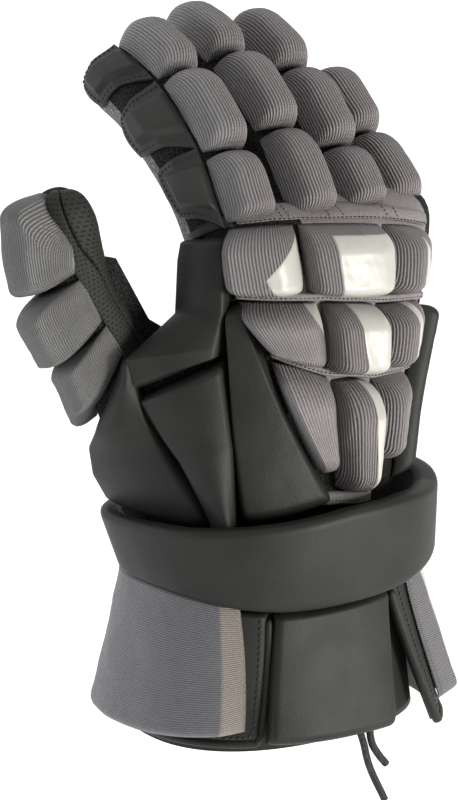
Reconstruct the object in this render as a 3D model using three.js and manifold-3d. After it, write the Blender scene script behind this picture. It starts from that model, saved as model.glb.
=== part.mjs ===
// A right-hand lacrosse glove held upright, with the fingers curled towards the palm.
// The back of the hand faces -Y, the thumb points to -X and the fingers point up.
// Lengths are in millimetres and the origin is the centre of the cuff's opening, at its rim.
import * as THREE from "three";
import { mergeVertices } from "three/addons/utils/BufferGeometryUtils.js";
import Module from "manifold-3d";

const wasm = await Module();
wasm.setup();

// Fits between pieces
const CLEARANCE = 0.3;
const PAD_SEAT = 0.5;
const SCALE_SEAT = 1;
const FINGER_PAD_SEAT = 0.7;
const THUMB_PAD_SEAT = 1;
const PAD_GAP = 0.9;
const KNUCKLE_GAP = 2;
const CUFF_SEAT = 0.9;

// Hand, wrist band and cuff
const HAND_WIDTH = 112;
const HAND_DEPTH = 54;
const BACK_LENGTH = 115;
const SHELL_WALL = 2;
const SHELL_TUCK = 9;
const BAND_HEIGHT = 30;
const BAND_THICKNESS = 20.5;
const BAND_PALM_THICKNESS = 9;
const BAND_RISE = 8;
const BAND_TILT = 2;
const CUFF_HEIGHT = 54;
const CUFF_WALL = 2.5;
const CUFF_SPREAD = 6;
const TONGUE_WALL = 6;
const TONGUE_SPREAD = 6;
const FLAP_WALL = 3.5;
const RADIAL_FLAP_SPREAD = 1;
const ULNAR_FLAP_SPREAD = 6;

// Fingers and thumb
const FINGER_PITCH = 26.2;
const FINGER_LENGTH = 111;
const FINGER_WIDTH = 24;
const FINGER_DEPTH = 21;
const FINGER_PALM_SHARE = 2;
const THUMB_PALM_SHARE = 1.15;
const THUMB_TIP_SLOPE = 1.2;
const INDEX_PALM_SHARE = 2.3;
const INDEX_ROOT_SIDE_SHARE = 1.25;
const INDEX_SIDE_SHARE = 1.9;
const DIGIT_POWER = 0.85;
const DIGIT_TAPER = 0.1;
const THUMB_LENGTH = 119;
const THUMB_WIDTH = 27;
const THUMB_DEPTH = 23;
const SLEEVE_WALL = 1.6;
const SLEEVE_TUCK = 6;

// Padding
const FINGER_PAD_HEIGHT = 11;
const THUMB_PAD_HEIGHT = 12;
const BACK_PAD_HEIGHT = 15;
const GUARD_DEPTH = 17;
const DORSAL_GUARD_HEIGHT = 11;
const ULNAR_GUARD_HEIGHT = 8;
const SCALE_HEIGHT = 4;
const SCALE_FLARE = 3;
const CUFF_PAD_HEIGHT = 9;
const WEB_WALL = 2.5;
const LACE_DIAMETER = 3;

const WRIST_Z = CUFF_HEIGHT + BAND_HEIGHT;
const radians = (degrees) => (degrees * Math.PI) / 180;

// The hand's sections, from inside the band to past the knuckles. at is a share of BACK_LENGTH
// above the band, shiftX and halfWidth are shares of HAND_WIDTH, and shiftY and halfDepth are
// shares of HAND_DEPTH.
const HAND_SECTIONS = [
  { at: -0.4, shiftX: 0, shiftY: 0, halfWidth: 0.446, halfDepth: 0.665 },
  { at: -0.15, shiftX: 0, shiftY: 0, halfWidth: 0.446, halfDepth: 0.665 },
  { at: 0, shiftX: 0.009, shiftY: 0, halfWidth: 0.438, halfDepth: 0.648 },
  { at: 0.33, shiftX: 0.054, shiftY: -0.019, halfWidth: 0.446, halfDepth: 0.574 },
  { at: 0.635, shiftX: 0.116, shiftY: -0.037, halfWidth: 0.464, halfDepth: 0.509 },
  { at: 0.896, shiftX: 0.161, shiftY: -0.037, halfWidth: 0.473, halfDepth: 0.444 },
  { at: 0.983, shiftX: 0.17, shiftY: -0.019, halfWidth: 0.464, halfDepth: 0.407 },
  { at: 1.043, shiftX: 0.17, shiftY: 0.074, halfWidth: 0.446, halfDepth: 0.278 },
];
const HAND_ROUNDNESS = 2.35;

// Fingers. The root is the knuckle's place: x in shares of FINGER_PITCH from the hand's middle,
// y in shares of HAND_DEPTH and z in shares of BACK_LENGTH above the band. The bones are shares
// of FINGER_LENGTH, and the curls are their angles from upright in degrees.
const FINGERS = [
  {
    name: "index", x: -1.538, y: -0.131, z: 0.923, turn: 2.4, lean: -0.6,
    bones: [0.264, 0.319, 0.31], curls: [27.6, 46.2, 67.6],
  },
  {
    name: "middle", x: -0.485, y: -0.194, z: 0.923, turn: 2.6, lean: -1.2,
    bones: [0.34, 0.327, 0.334], curls: [32.4, 48.5, 68.9],
  },
  {
    name: "ring", x: 0.504, y: -0.157, z: 0.919, turn: 3.5, lean: -0.6,
    bones: [0.267, 0.327, 0.332], curls: [36.8, 40.6, 62.2],
  },
  {
    name: "little", x: 1.492, y: -0.026, z: 0.907, turn: 3, lean: -2,
    bones: [0.331, 0.318], curls: [42.8, 45.7],
  },
];
const KNUCKLE_MIDDLE = 0.176;

// The thumb, on the same terms, with x in shares of HAND_WIDTH and its bones as shares of
// THUMB_LENGTH.
const THUMB = {
  x: -0.411, y: 0.259, z: 0.06, turn: -86, lean: -28,
  bones: [0.23, 0.28, 0.2, 0.29], curls: [9, 3, -4, 26],
};

// The thumb's pads from its base up: height as a share of THUMB_PAD_HEIGHT, how far each reaches
// round the thumb in degrees, and how far the ends of its near side slant up, in shares of
// THUMB_LENGTH.
const THUMB_PADS = [
  { height: 1, reach: 90, slant: [0.25, 0.08] },
  { height: 1.2, reach: 84, slant: [0.08, 0.048] },
  { height: 1, reach: 72, slant: [0.048, 0] },
];

// Foam pads on the back of the hand, each with two rows of its outline, the knuckle end first:
// the left edge's angle in degrees round the hand from the middle of the back and its share of
// BACK_LENGTH above the band, and then the right edge's.
const BACK_PADS = [
  { name: "back_pad_1_radial", rows: [[-61, 0.972, -20.5, 0.978], [-57, 0.76, -20, 0.748]] },
  { name: "back_pad_1_middle", rows: [[-20.5, 0.978, 14.5, 0.957], [-20, 0.748, 15, 0.716]] },
  { name: "back_pad_1_ulnar", rows: [[14.5, 0.957, 46, 0.915], [15, 0.716, 48, 0.7]] },
  { name: "back_pad_2_radial", rows: [[-52, 0.735, -10.5, 0.728], [-33, 0.55, -9, 0.51]] },
  { name: "back_pad_2_middle", rows: [[-10.5, 0.728, 14.5, 0.7], [-9, 0.497, 17, 0.465]] },
  { name: "back_pad_2_ulnar", rows: [[14.5, 0.7, 46, 0.685], [17, 0.475, 48, 0.47]] },
  { name: "back_pad_3_radial", rows: [[-33, 0.535, -6, 0.495], [-12, 0.165, -2, 0.185]] },
  { name: "back_pad_3_middle", rows: [[-6, 0.478, 16.5, 0.45], [-1, 0.1, 15, 0.085]] },
  { name: "back_pad_3_ulnar", rows: [[17.5, 0.462, 42, 0.455], [20, 0.165, 44, 0.16]] },
];
const DORSAL_GUARD = [[-58, 0.732, -49, 0.738], [-42, 0.025, 1, 0.09]];
const ULNAR_GUARD = [[51, 0.66, 96, 0.62], [49, 0.4, 100, 0.38], [46, 0.025, 104, 0.025]];

// Leather guards between the hand's back and the thumb. Each row crosses the guard's outer face
// from its left edge to its right edge, the top row first: x in shares of HAND_WIDTH, y in shares
// of HAND_DEPTH and z in shares of BACK_LENGTH above the band.
const RADIAL_GUARDS = [
  {
    name: "radial_upper_guard", bulge: 0.03,
    rows: [
      [-0.4, -0.056, 0.93, -0.333, -0.38, 0.937],
      [-0.414, -0.045, 0.86, -0.333, -0.43, 0.86],
      [-0.434, -0.074, 0.69, -0.345, -0.465, 0.709],
      [-0.65, -0.093, 0.561, -0.353, -0.485, 0.596],
      [-0.62, -0.111, 0.448, -0.36, -0.48, 0.572],
    ],
  },
  {
    name: "radial_lower_guard", bulge: 0.05,
    rows: [
      [-0.605, -0.1, 0.435, -0.349, -0.505, 0.565],
      [-0.51, -0.36, 0.22, -0.343, -0.594, 0.28],
      [-0.42, -0.58, -0.02, -0.359, -0.64, -0.02],
    ],
  },
  {
    name: "thumb_base_guard", bulge: 0.05,
    rows: [
      [-0.6, -0.02, 0.575, -0.58, -0.1, 0.575],
      [-0.645, 0, 0.474, -0.58, -0.12, 0.49],
      [-0.67, 0.185, 0.31, -0.55, -0.2, 0.38],
      [-0.64, 0.4, 0.22, -0.5, -0.3, 0.27],
      [-0.6, 0.5, 0.1, -0.455, -0.42, 0.13],
      [-0.53, 0.5, -0.02, -0.4, -0.54, -0.02],
    ],
  },
];

// The thumb's web, in the same columns.
const THUMB_WEB = {
  bulge: 0,
  rows: [
    [-0.7, 0.074, 0.9, -0.59, 0.111, 0.87],
    [-0.68, 0.074, 0.739, -0.451, 0.148, 0.657],
    [-0.64, 0.074, 0.574, -0.375, 0.111, 0.609],
    [-0.6, 0.1, 0.3, -0.36, 0.12, 0.3],
  ],
};

// Leather scales along the index finger's thumb side: angles round the finger from its back, and
// shares of FINGER_LENGTH along it, from the outline's fingertip end down.
const INDEX_SCALES = [
  { name: "index_scale_base", rows: [[-107, 0.303, -58, 0.303], [-107, 0.114, -58, 0.01]] },
  { name: "index_scale_middle", rows: [[-109, 0.573, -58, 0.6], [-116, 0.4, -58, 0.29]] },
  { name: "index_scale_tip", rows: [[-110, 0.85, -58, 0.87], [-116, 0.71, -58, 0.6]] },
];

// Pieces of the cuff: angles round it in degrees from the middle of the back, and shares of its
// height. The first row is the top edge.
const TONGUE = [[-25, 0.98, 24, 0.98], [-29, 0.03, 15.5, 0.03]];
const CUFF_SIDES = [
  {
    name: "radial", spread: RADIAL_FLAP_SPREAD,
    flap: [[-140, 0.97, -26, 0.97], [-140, 0.08, -30, 0.02]],
    pad: [[-132, 0.97, -34, 0.97], [-132, 0.03, -38, 0.14]],
  },
  {
    name: "ulnar", spread: ULNAR_FLAP_SPREAD,
    flap: [[26, 0.97, 140, 0.97], [45, -0.1, 140, 0.03]],
    pad: [[36, 0.97, 132, 0.97], [53, 0, 132, 0.06]],
  },
];

// The lace ends that hang out from behind the cuff's tongue, from their eyelets down, in shares
// of HAND_WIDTH, HAND_DEPTH and CUFF_HEIGHT.
const LACE_ROUTES = [
  {
    name: "lace_long",
    points: [
      [0.076, -0.833, 0.259], [0.073, -0.856, 0.167], [0.071, -0.876, 0.056],
      [0.085, -0.894, -0.074], [0.107, -0.894, -0.231], [0.175, -0.907, -0.528],
    ],
  },
  {
    name: "lace_short",
    points: [
      [0.128, -0.819, 0.315], [0.119, -0.854, 0.167], [0.116, -0.874, 0.056],
      [0.121, -0.889, -0.074], [0.147, -0.887, -0.167], [0.183, -0.898, -0.265],
    ],
  },
];

// Reads one column of a table at a place along it, on a smooth curve through its rows.
function column(table, key, at) {
  let i = 0;
  while (i < table.length - 2 && at > table[i + 1].at) i += 1;
  const slope = (k) => {
    const low = table[Math.max(k - 1, 0)];
    const high = table[Math.min(k + 1, table.length - 1)];
    return (high[key] - low[key]) / (high.at - low.at);
  };
  const [a, b] = [table[i], table[i + 1]];
  const span = b.at - a.at;
  const t = THREE.MathUtils.clamp((at - a.at) / span, 0, 1);
  const start = (2 * t ** 3 - 3 * t ** 2 + 1) * a[key] + (t ** 3 - 2 * t ** 2 + t) * span * slope(i);
  const end = (3 * t ** 2 - 2 * t ** 3) * b[key] + (t ** 3 - t ** 2) * span * slope(i + 1);
  return start + end;
}

const rounded = (value, power) => Math.sign(value) * Math.abs(value) ** power;

// A point on the hand's outer face, or offset out from it.
function handPoint(angle, z, offset = 0) {
  const at = (z - WRIST_Z) / BACK_LENGTH;
  const power = 2 / HAND_ROUNDNESS;
  const width = HAND_WIDTH * column(HAND_SECTIONS, "halfWidth", at) + offset;
  const depth = HAND_DEPTH * column(HAND_SECTIONS, "halfDepth", at) + offset;
  const turn = radians(angle);
  return new THREE.Vector3(
    HAND_WIDTH * column(HAND_SECTIONS, "shiftX", at) + width * rounded(Math.sin(turn), power),
    HAND_DEPTH * column(HAND_SECTIONS, "shiftY", at) - depth * rounded(Math.cos(turn), power),
    z,
  );
}

// How far the band and the tops of the cuff's pieces rise towards the sides and the palm.
function sideRise(angle) {
  const side = Math.sin(radians(angle));
  return BAND_RISE * (Math.abs(angle) < 90 ? side ** 2 : 1) + BAND_TILT * side;
}

// The height of a share of the hand's back, whose lowest part follows the band's top edge.
const LEVEL_SHARE = 0.3;
function backHeight(share, angle = 0) {
  const rise = sideRise(angle) * Math.max(0, 1 - share / LEVEL_SHARE);
  return WRIST_Z + share * BACK_LENGTH + rise;
}

// A point on the cuff sleeve's outer face: up is 0 at the rim and 1 at its top edge.
const FLARE_POWER = 1.3;
function cuffPoint(angle, up, offset = 0, standoff = 0) {
  const spread = (CUFF_SPREAD + standoff) * Math.max(0, 1 - up) ** FLARE_POWER;
  const point = handPoint(angle, CUFF_HEIGHT, CLEARANCE + CUFF_WALL + spread + offset);
  point.z = (CUFF_HEIGHT + sideRise(angle)) * up;
  return point;
}

// The middle line of a finger or thumb: a curve whose angle turns from bone to bone, with the
// directions across it, along it and out of its back.
function digit(spec, root, length) {
  const ends = [];
  let total = 0;
  for (const bone of spec.bones) {
    total += bone * length;
    ends.push(total);
  }
  const mids = ends.map((end, i) => end - (spec.bones[i] * length) / 2);
  const frame = new THREE.Matrix4().makeRotationY(radians(spec.lean));
  frame.multiply(new THREE.Matrix4().makeRotationZ(radians(spec.turn)));
  const across = new THREE.Vector3().setFromMatrixColumn(frame, 0);
  const palmward = new THREE.Vector3().setFromMatrixColumn(frame, 1);
  const upright = new THREE.Vector3().setFromMatrixColumn(frame, 2);
  const curlAt = (s) => {
    let i = 0;
    while (i < mids.length - 2 && s > mids[i + 1]) i += 1;
    const t = THREE.MathUtils.clamp((s - mids[i]) / (mids[i + 1] - mids[i]), 0, 1);
    return radians(spec.curls[i] + t * (spec.curls[i + 1] - spec.curls[i]));
  };
  const alongAt = (s) => {
    const curl = curlAt(s);
    return upright.clone().multiplyScalar(Math.cos(curl)).addScaledVector(palmward, Math.sin(curl));
  };
  const backAt = (s) => {
    const curl = curlAt(s);
    return upright.clone().multiplyScalar(Math.sin(curl)).addScaledVector(palmward, -Math.cos(curl));
  };
  const centre = (s) => {
    const steps = Math.max(2, Math.ceil(Math.abs(s) / 2));
    const point = root.clone();
    for (let i = 0; i < steps; i += 1) {
      point.addScaledVector(alongAt(((i + 0.5) * s) / steps), s / steps);
    }
    return point;
  };
  return { across, alongAt, backAt, centre, ends, total };
}

// A mesh geometry from points and triangles, with its faces pointing out.
function closedGeometry(points, triangles) {
  let volume = 0;
  for (const [a, b, c] of triangles) {
    volume += points[a].dot(points[b].clone().cross(points[c]));
  }
  const faces = volume < 0 ? triangles.map(([a, b, c]) => [a, c, b]) : triangles;
  const geometry = new THREE.BufferGeometry();
  const positions = points.flatMap((point) => point.toArray());
  geometry.setAttribute("position", new THREE.Float32BufferAttribute(positions, 3));
  geometry.setIndex(faces.flat());
  return geometry;
}

function toSolid(geometry) {
  const bare = geometry.clone();
  bare.deleteAttribute("normal");
  bare.deleteAttribute("uv");
  const merged = mergeVertices(bare);
  const mesh = new wasm.Mesh({
    numProp: 3,
    vertProperties: new Float32Array(merged.getAttribute("position").array),
    triVerts: new Uint32Array(merged.getIndex().array),
  });
  return new wasm.Manifold(mesh);
}

function toGeometry(solid) {
  const mesh = solid.getMesh();
  const geometry = new THREE.BufferGeometry();
  geometry.setAttribute("position", new THREE.BufferAttribute(new Float32Array(mesh.vertProperties), 3));
  geometry.setIndex(new THREE.BufferAttribute(new Uint32Array(mesh.triVerts), 1));
  return geometry;
}

// A solid with others cut out of it, without the loose crumbs.
function trimmed(solid, cutters) {
  let left = solid;
  for (const cutter of cutters) left = left.subtract(cutter);
  return left.decompose().reduce((best, part) => (part.volume() > best.volume() ? part : best));
}

// The triangles between rings of points that follow each other.
function ringTriangles(ringCount, pointCount, closed) {
  const triangles = [];
  for (let r = 0; r < ringCount - (closed ? 0 : 1); r += 1) {
    const [low, high] = [r * pointCount, ((r + 1) % ringCount) * pointCount];
    for (let i = 0; i < pointCount; i += 1) {
      const next = (i + 1) % pointCount;
      triangles.push([low + i, low + next, high + next], [low + i, high + next, high + i]);
    }
  }
  return triangles;
}

// A closed solid through rings of points, with a flat fan over each end.
function loft(rings) {
  const count = rings[0].length;
  const points = rings.flat();
  const triangles = ringTriangles(rings.length, count, false);
  for (const [ring, start] of [[rings[0], 0], [rings.at(-1), (rings.length - 1) * count]]) {
    const middle = new THREE.Vector3();
    ring.forEach((point) => middle.addScaledVector(point, 1 / count));
    points.push(middle);
    for (let i = 0; i < count; i += 1) {
      const [a, b] = [start + i, start + ((i + 1) % count)];
      triangles.push(start === 0 ? [b, a, points.length - 1] : [a, b, points.length - 1]);
    }
  }
  return closedGeometry(points, triangles);
}

// A closed hoop through rings of points.
const hoop = (rings) => closedGeometry(rings.flat(), ringTriangles(rings.length, rings[0].length, true));

// A closed solid between an outer and an inner sheet, which meet along their four edges.
function sheetSolid(outer, inner, stationsU, stationsV) {
  const points = [];
  const triangles = [];
  const [lastU, lastV] = [stationsU.length - 1, stationsV.length - 1];
  const sides = stationsU.map((u, i) => stationsV.map((v, j) => {
    const top = points.push(outer(u, v)) - 1;
    const edge = i === 0 || j === 0 || i === lastU || j === lastV;
    return [top, edge ? top : points.push(inner(u, v)) - 1];
  }));
  for (let i = 0; i < lastU; i += 1) {
    for (let j = 0; j < lastV; j += 1) {
      const corners = [sides[i][j], sides[i + 1][j], sides[i + 1][j + 1], sides[i][j + 1]];
      const [a, b, c, d] = corners.map((corner) => corner[0]);
      const [e, f, g, h] = corners.map((corner) => corner[1]);
      triangles.push([a, b, c], [a, c, d], [e, g, f], [e, h, g]);
    }
  }
  return closedGeometry(points, triangles);
}

// How high a pad stands at a share of its width or length: a quarter round at each end.
function crown(share, startRound, endRound) {
  const rise = (t) => Math.sqrt(Math.max(0, 1 - (1 - Math.min(t, 1)) ** 2));
  return rise(share / startRound) * rise((1 - share) / endRound);
}

// Pulls the corners of a square sheet in, for a pad with round corners.
function roundCorners(u, v, amount) {
  const [p, q] = [2 * u - 1, 2 * v - 1];
  return [
    0.5 + 0.5 * p * Math.sqrt(1 - (amount * q * q) / 2),
    0.5 + 0.5 * q * Math.sqrt(1 - (amount * p * p) / 2),
  ];
}

// Reads an outline table at a share across it and a share down it, as [x, y] or [x, y, z].
function outlinePoint(rows, u, v) {
  const place = v * (rows.length - 1);
  const i = Math.min(Math.floor(place), rows.length - 2);
  const row = rows[i].map((value, k) => THREE.MathUtils.lerp(value, rows[i + 1][k], place - i));
  const half = row.length / 2;
  return row.slice(0, half).map((value, k) => THREE.MathUtils.lerp(value, row[half + k], u));
}

const ACROSS = [0, 0.07, 0.3, 0.7, 0.93, 1];
const DIGIT_ACROSS = [0, 0.08, 0.3, 0.5, 0.7, 0.92, 1];
const ALONG = [0, 0.06, 0.25, 0.65, 0.9, 1];
const PLATE_ALONG = [0, 0.05, 0.25, 0.5, 0.75, 0.95, 1];

// A pad on the back of the hand, whose foot follows an outline and whose top leans to the wrist.
// It thins towards the little finger's side. grow makes it larger all round, as a cutter for
// what must stay clear of it.
function backPad(rows, form, grow = 0) {
  const gap = PAD_GAP - 2 * grow;
  const place = (u, v, lift) => {
    const [p, q] = roundCorners(u, v, form.corner);
    const [angle, share] = outlinePoint(rows, p, q);
    const drawnIn = THREE.MathUtils.radToDeg(gap / HAND_WIDTH) * (1 - 2 * p);
    const thin = 1 - form.thinning * THREE.MathUtils.smoothstep(angle, 10, 46);
    const height = (form.height + grow) * thin * lift;
    const z = backHeight(share, angle) + gap * (q - 0.5);
    const point = handPoint(angle + drawnIn, z, PAD_SEAT - grow + height);
    point.z -= form.lean * height;
    return point;
  };
  const lift = (u, v) =>
    crown(u, form.roundAcross, form.roundAcross) * crown(v, form.roundAlong[0], form.roundAlong[1]);
  return sheetSolid((u, v) => place(u, v, lift(u, v)), (u, v) => place(u, v, 0), ACROSS, ALONG);
}

const SIDE_WIDENING_END = 0.6;

// A point on a finger's or thumb's outer face, or offset out from it. The tip is a round nose,
// which a slope makes longer on the palm's side.
function digitPoint({ line, size }, way, s, offset = 0) {
  const angle = THREE.MathUtils.euclideanModulo(way + 180, 360) - 180;
  const turn = radians(angle);
  const left = size.tip + offset - s;
  const nose = size.nose * (1 + size.slope * Math.max(0, -Math.cos(turn)));
  const close = left < nose ? Math.sqrt(Math.max(0, 1 - (1 - left / nose) ** 2)) : 1;
  const share = THREE.MathUtils.clamp(s / line.total, 0, 1);
  const taper = 1 - DIGIT_TAPER * share;
  const widening = THREE.MathUtils.smoothstep(share, 0, SIDE_WIDENING_END);
  const side = THREE.MathUtils.lerp(size.rootSide, size.side, widening);
  const sideward = THREE.MathUtils.lerp(1, side, THREE.MathUtils.smoothstep(-angle, 55, 105));
  const width = ((size.width / 2) * sideward * taper + offset) * close;
  const palmward = Math.cos(turn) < 0 ? size.palm : 1;
  const depth = ((size.depth / 2) * palmward * taper + offset) * close;
  return line.centre(s)
    .addScaledVector(line.across, width * rounded(Math.sin(turn), DIGIT_POWER))
    .addScaledVector(line.backAt(s), depth * rounded(Math.cos(turn), DIGIT_POWER));
}

const SLEEVE_SIDES = 12;
const SLEEVE_STEP = 16;
function digitSolid(item, start, offset) {
  const end = item.size.tip + offset;
  const straight = end - item.size.nose - start;
  const steps = Math.ceil(straight / SLEEVE_STEP);
  const lengths = [];
  for (let i = 0; i < steps; i += 1) lengths.push(start + (straight * i) / steps);
  for (const share of [1, 0.5, 0.15, 0.02]) lengths.push(end - item.size.nose * share);
  const ring = (s) => Array.from({ length: SLEEVE_SIDES }, (_, i) =>
    digitPoint(item, (360 * i) / SLEEVE_SIDES, s, offset));
  return toSolid(loft(lengths.map(ring)));
}

// A foam pad over the back of a finger or thumb, between two places along it. grow makes it
// larger all round, as a cutter for what it must stay clear of.
// slant moves the two ends of its near side along the digit.
const PAD_LEAN = 0.16;
const PAD_CORNER = 0.3;
const SLANT_START = 0.25;
const PAD_POWER = 0.8;
const GROW_TURN = 5;
function digitPad(item, from, to, { height, reach, rounding, seat, slant = [0, 0] }, grow = 0) {
  const { line, size } = item;
  const edge = radians(reach + GROW_TURN * grow);
  const footHeight = (size.depth / 2) * rounded(Math.cos(edge), DIGIT_POWER);
  const place = (u, v, lift) => {
    const [p, q] = roundCorners(u, v, PAD_CORNER);
    const turn = edge * (2 * p - 1);
    const slanted = Math.max(0, (p - SLANT_START) / (1 - SLANT_START));
    const start = from - grow + PAD_GAP / 2 + slant[0] * slanted;
    const end = to + grow - PAD_GAP / 2 + slant[1] * slanted;
    const s = THREE.MathUtils.lerp(start, end, q);
    const foot = digitPoint(item, THREE.MathUtils.radToDeg(turn), s, seat - grow);
    const bow = Math.max(0, (Math.cos(turn) - Math.cos(edge)) / (1 - Math.cos(edge)));
    const halfWidth = (size.width / 2 + PAD_SEAT + grow) * Math.sin(edge) ** DIGIT_POWER;
    const topHeight = size.depth / 2 + height + grow;
    const top = line.centre(s)
      .addScaledVector(line.across, halfWidth * rounded(Math.sin(turn) / Math.sin(edge), PAD_POWER))
      .addScaledVector(line.backAt(s), THREE.MathUtils.lerp(footHeight, topHeight, Math.sqrt(bow)))
      .addScaledVector(line.alongAt(s), -PAD_LEAN * height);
    return foot.lerp(top, lift);
  };
  const lift = (u, v) => crown(u, 0.2, 0.2) * crown(v, rounding[0], rounding[1]);
  return sheetSolid((u, v) => place(u, v, lift(u, v)), (u, v) => place(u, v, 0), DIGIT_ACROSS, ALONG);
}

// A leather scale on a finger's side, from an outline table. It stands out at its palm edge.
const SCALE_CORNER = 0.2;
function digitScale(item, rows, length, grow = 0) {
  const place = (u, v, lift) => {
    const [p, q] = roundCorners(u, v, SCALE_CORNER);
    const [angle, share] = outlinePoint(rows, p, q);
    const out = SCALE_FLARE * (1 - p) * Math.sin(Math.PI * q) + lift * (SCALE_HEIGHT + 2 * grow);
    const [wider, longer] = [GROW_TURN * grow * (2 * p - 1), grow * (1 - 2 * q)];
    return digitPoint(item, angle + wider, share * length + longer, SCALE_SEAT - grow + out);
  };
  const lift = (u, v) => crown(u, 0.12, 0.12) * crown(v, 0.12, 0.12);
  return sheetSolid((u, v) => place(u, v, lift(u, v)), (u, v) => place(u, v, 0), DIGIT_ACROSS, ALONG);
}

// A thick plate whose outer face goes through an outline's rows, bowed out in its middle.
function plate({ rows, bulge }, depth, grow = 0) {
  const face = (u, v) => {
    const [x, y, share] = outlinePoint(rows, u, v);
    const angle = THREE.MathUtils.radToDeg(Math.atan2(x * HAND_WIDTH, -y * HAND_DEPTH));
    return new THREE.Vector3(x * HAND_WIDTH, y * HAND_DEPTH, backHeight(share, angle));
  };
  const place = (u, v, lift) => {
    const point = face(u, v);
    const across = face(Math.min(u + 0.05, 1), v).sub(face(Math.max(u - 0.05, 0), v)).normalize();
    const down = face(u, Math.min(v + 0.05, 1)).sub(face(u, Math.max(v - 0.05, 0))).normalize();
    const out = down.clone().cross(across).normalize();
    const bow = bulge * HAND_WIDTH * 4 * u * (1 - u);
    return point
      .addScaledVector(out, bow - depth * (1 - lift) + grow)
      .addScaledVector(across, grow * (2 * u - 1))
      .addScaledVector(down, grow * (2 * v - 1));
  };
  const lift = (u, v) => crown(u, 0.08, 0.08) * crown(v, 0.06, 0.06);
  const [outer, inner] = [(u, v) => place(u, v, lift(u, v)), (u, v) => place(u, v, 0)];
  return toSolid(sheetSolid(outer, inner, ACROSS, PLATE_ALONG));
}

// A piece on the cuff, offset out from its sleeve. headShare is its height's share at the top.
const CUFF_ACROSS = [0, 0.04, 0.13, 0.25, 0.38, 0.5, 0.62, 0.75, 0.87, 0.96, 1];
const CUFF_ALONG = [0, 0.06, 0.45, 0.92, 1];
function cuffPatch(rows, offset, height, { standoff, round, headShare = 1, corner = 0.06 }) {
  const place = (u, v, lift) => {
    const [p, q] = roundCorners(u, v, corner);
    const [angle, up] = outlinePoint(rows, p, q);
    const tall = height * THREE.MathUtils.lerp(headShare, 1, q);
    return cuffPoint(angle, up, offset + lift * tall, standoff);
  };
  const lift = (u, v) => crown(u, round, round) * crown(v, 0.06, round * 1.5);
  const [outer, inner] = [(u, v) => place(u, v, lift(u, v)), (u, v) => place(u, v, 0)];
  return sheetSolid(outer, inner, CUFF_ACROSS, CUFF_ALONG);
}

const glove = new THREE.Group();
glove.name = "lacrosse_glove";

const MATERIALS = {
  leather: { color: 0x43423d, roughness: 0.5, metalness: 0 },
  knit: { color: 0x77716f, roughness: 0.85, metalness: 0 },
  mesh: { color: 0x1c1c1d, roughness: 0.9, metalness: 0 },
  lace: { color: 0x17171a, roughness: 0.8, metalness: 0 },
};

function addPiece(name, geometry, look) {
  const mesh = new THREE.Mesh(geometry, new THREE.MeshStandardMaterial(MATERIALS[look]));
  mesh.name = name;
  glove.add(mesh);
}

// Fingers and thumb: their middle lines and sizes
const TIP_OVERHANG = 0.1;
function digitOf(spec, root, length, form) {
  const line = digit(spec, root, length);
  const nose = form.depth / 2;
  return { name: spec.name, line, size: { ...form, nose, tip: line.total + TIP_OVERHANG * nose } };
}
const fingerForm = {
  width: FINGER_WIDTH, depth: FINGER_DEPTH, palm: FINGER_PALM_SHARE, rootSide: 1, side: 1, slope: 0,
};
const indexForm = {
  ...fingerForm, palm: INDEX_PALM_SHARE, rootSide: INDEX_ROOT_SIDE_SHARE, side: INDEX_SIDE_SHARE,
};
const fingers = FINGERS.map((spec) => {
  const x = HAND_WIDTH * KNUCKLE_MIDDLE + spec.x * FINGER_PITCH;
  const root = new THREE.Vector3(x, HAND_DEPTH * spec.y, backHeight(spec.z));
  return digitOf(spec, root, FINGER_LENGTH, spec.name === "index" ? indexForm : fingerForm);
});
const thumbRoot = new THREE.Vector3(HAND_WIDTH * THUMB.x, HAND_DEPTH * THUMB.y, backHeight(THUMB.z, 90));
const thumbForm = {
  ...fingerForm, width: THUMB_WIDTH, depth: THUMB_DEPTH, palm: THUMB_PALM_SHARE,
  slope: THUMB_TIP_SLOPE,
};
const thumb = digitOf({ name: "thumb", ...THUMB }, thumbRoot, THUMB_LENGTH, thumbForm);
const digits = [...fingers, thumb];
const tuckOf = (item) => (item === thumb ? 0 : -SLEEVE_TUCK);

// Hand shell: a hollow of mesh and leather with a hole for each finger and the thumb
const HAND_SIDES = 24;
const around = (make) =>
  Array.from({ length: HAND_SIDES }, (_, i) => make((360 * i) / HAND_SIDES - 180));
function handSolid(bottom, offset) {
  const top = HAND_SECTIONS.at(-1).at;
  const shares = HAND_SECTIONS.map((row) => row.at).filter((at) => backHeight(at) > bottom + 5);
  const rings = [around((angle) => handPoint(angle, bottom, offset))];
  for (const share of shares) {
    const lift = new THREE.Vector3(0, 0, share === top ? offset : 0);
    rings.push(around((angle) => handPoint(angle, backHeight(share), offset).add(lift)));
  }
  return toSolid(loft(rings));
}
const shellBottom = CUFF_HEIGHT - SHELL_TUCK;
const bores = digits.map((item) => digitSolid(item, tuckOf(item) - 3, -SLEEVE_WALL));
const shell = handSolid(shellBottom, 0).subtract(handSolid(shellBottom - 5, -SHELL_WALL));
addPiece("hand_shell", toGeometry(trimmed(shell, bores)), "mesh");

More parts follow.
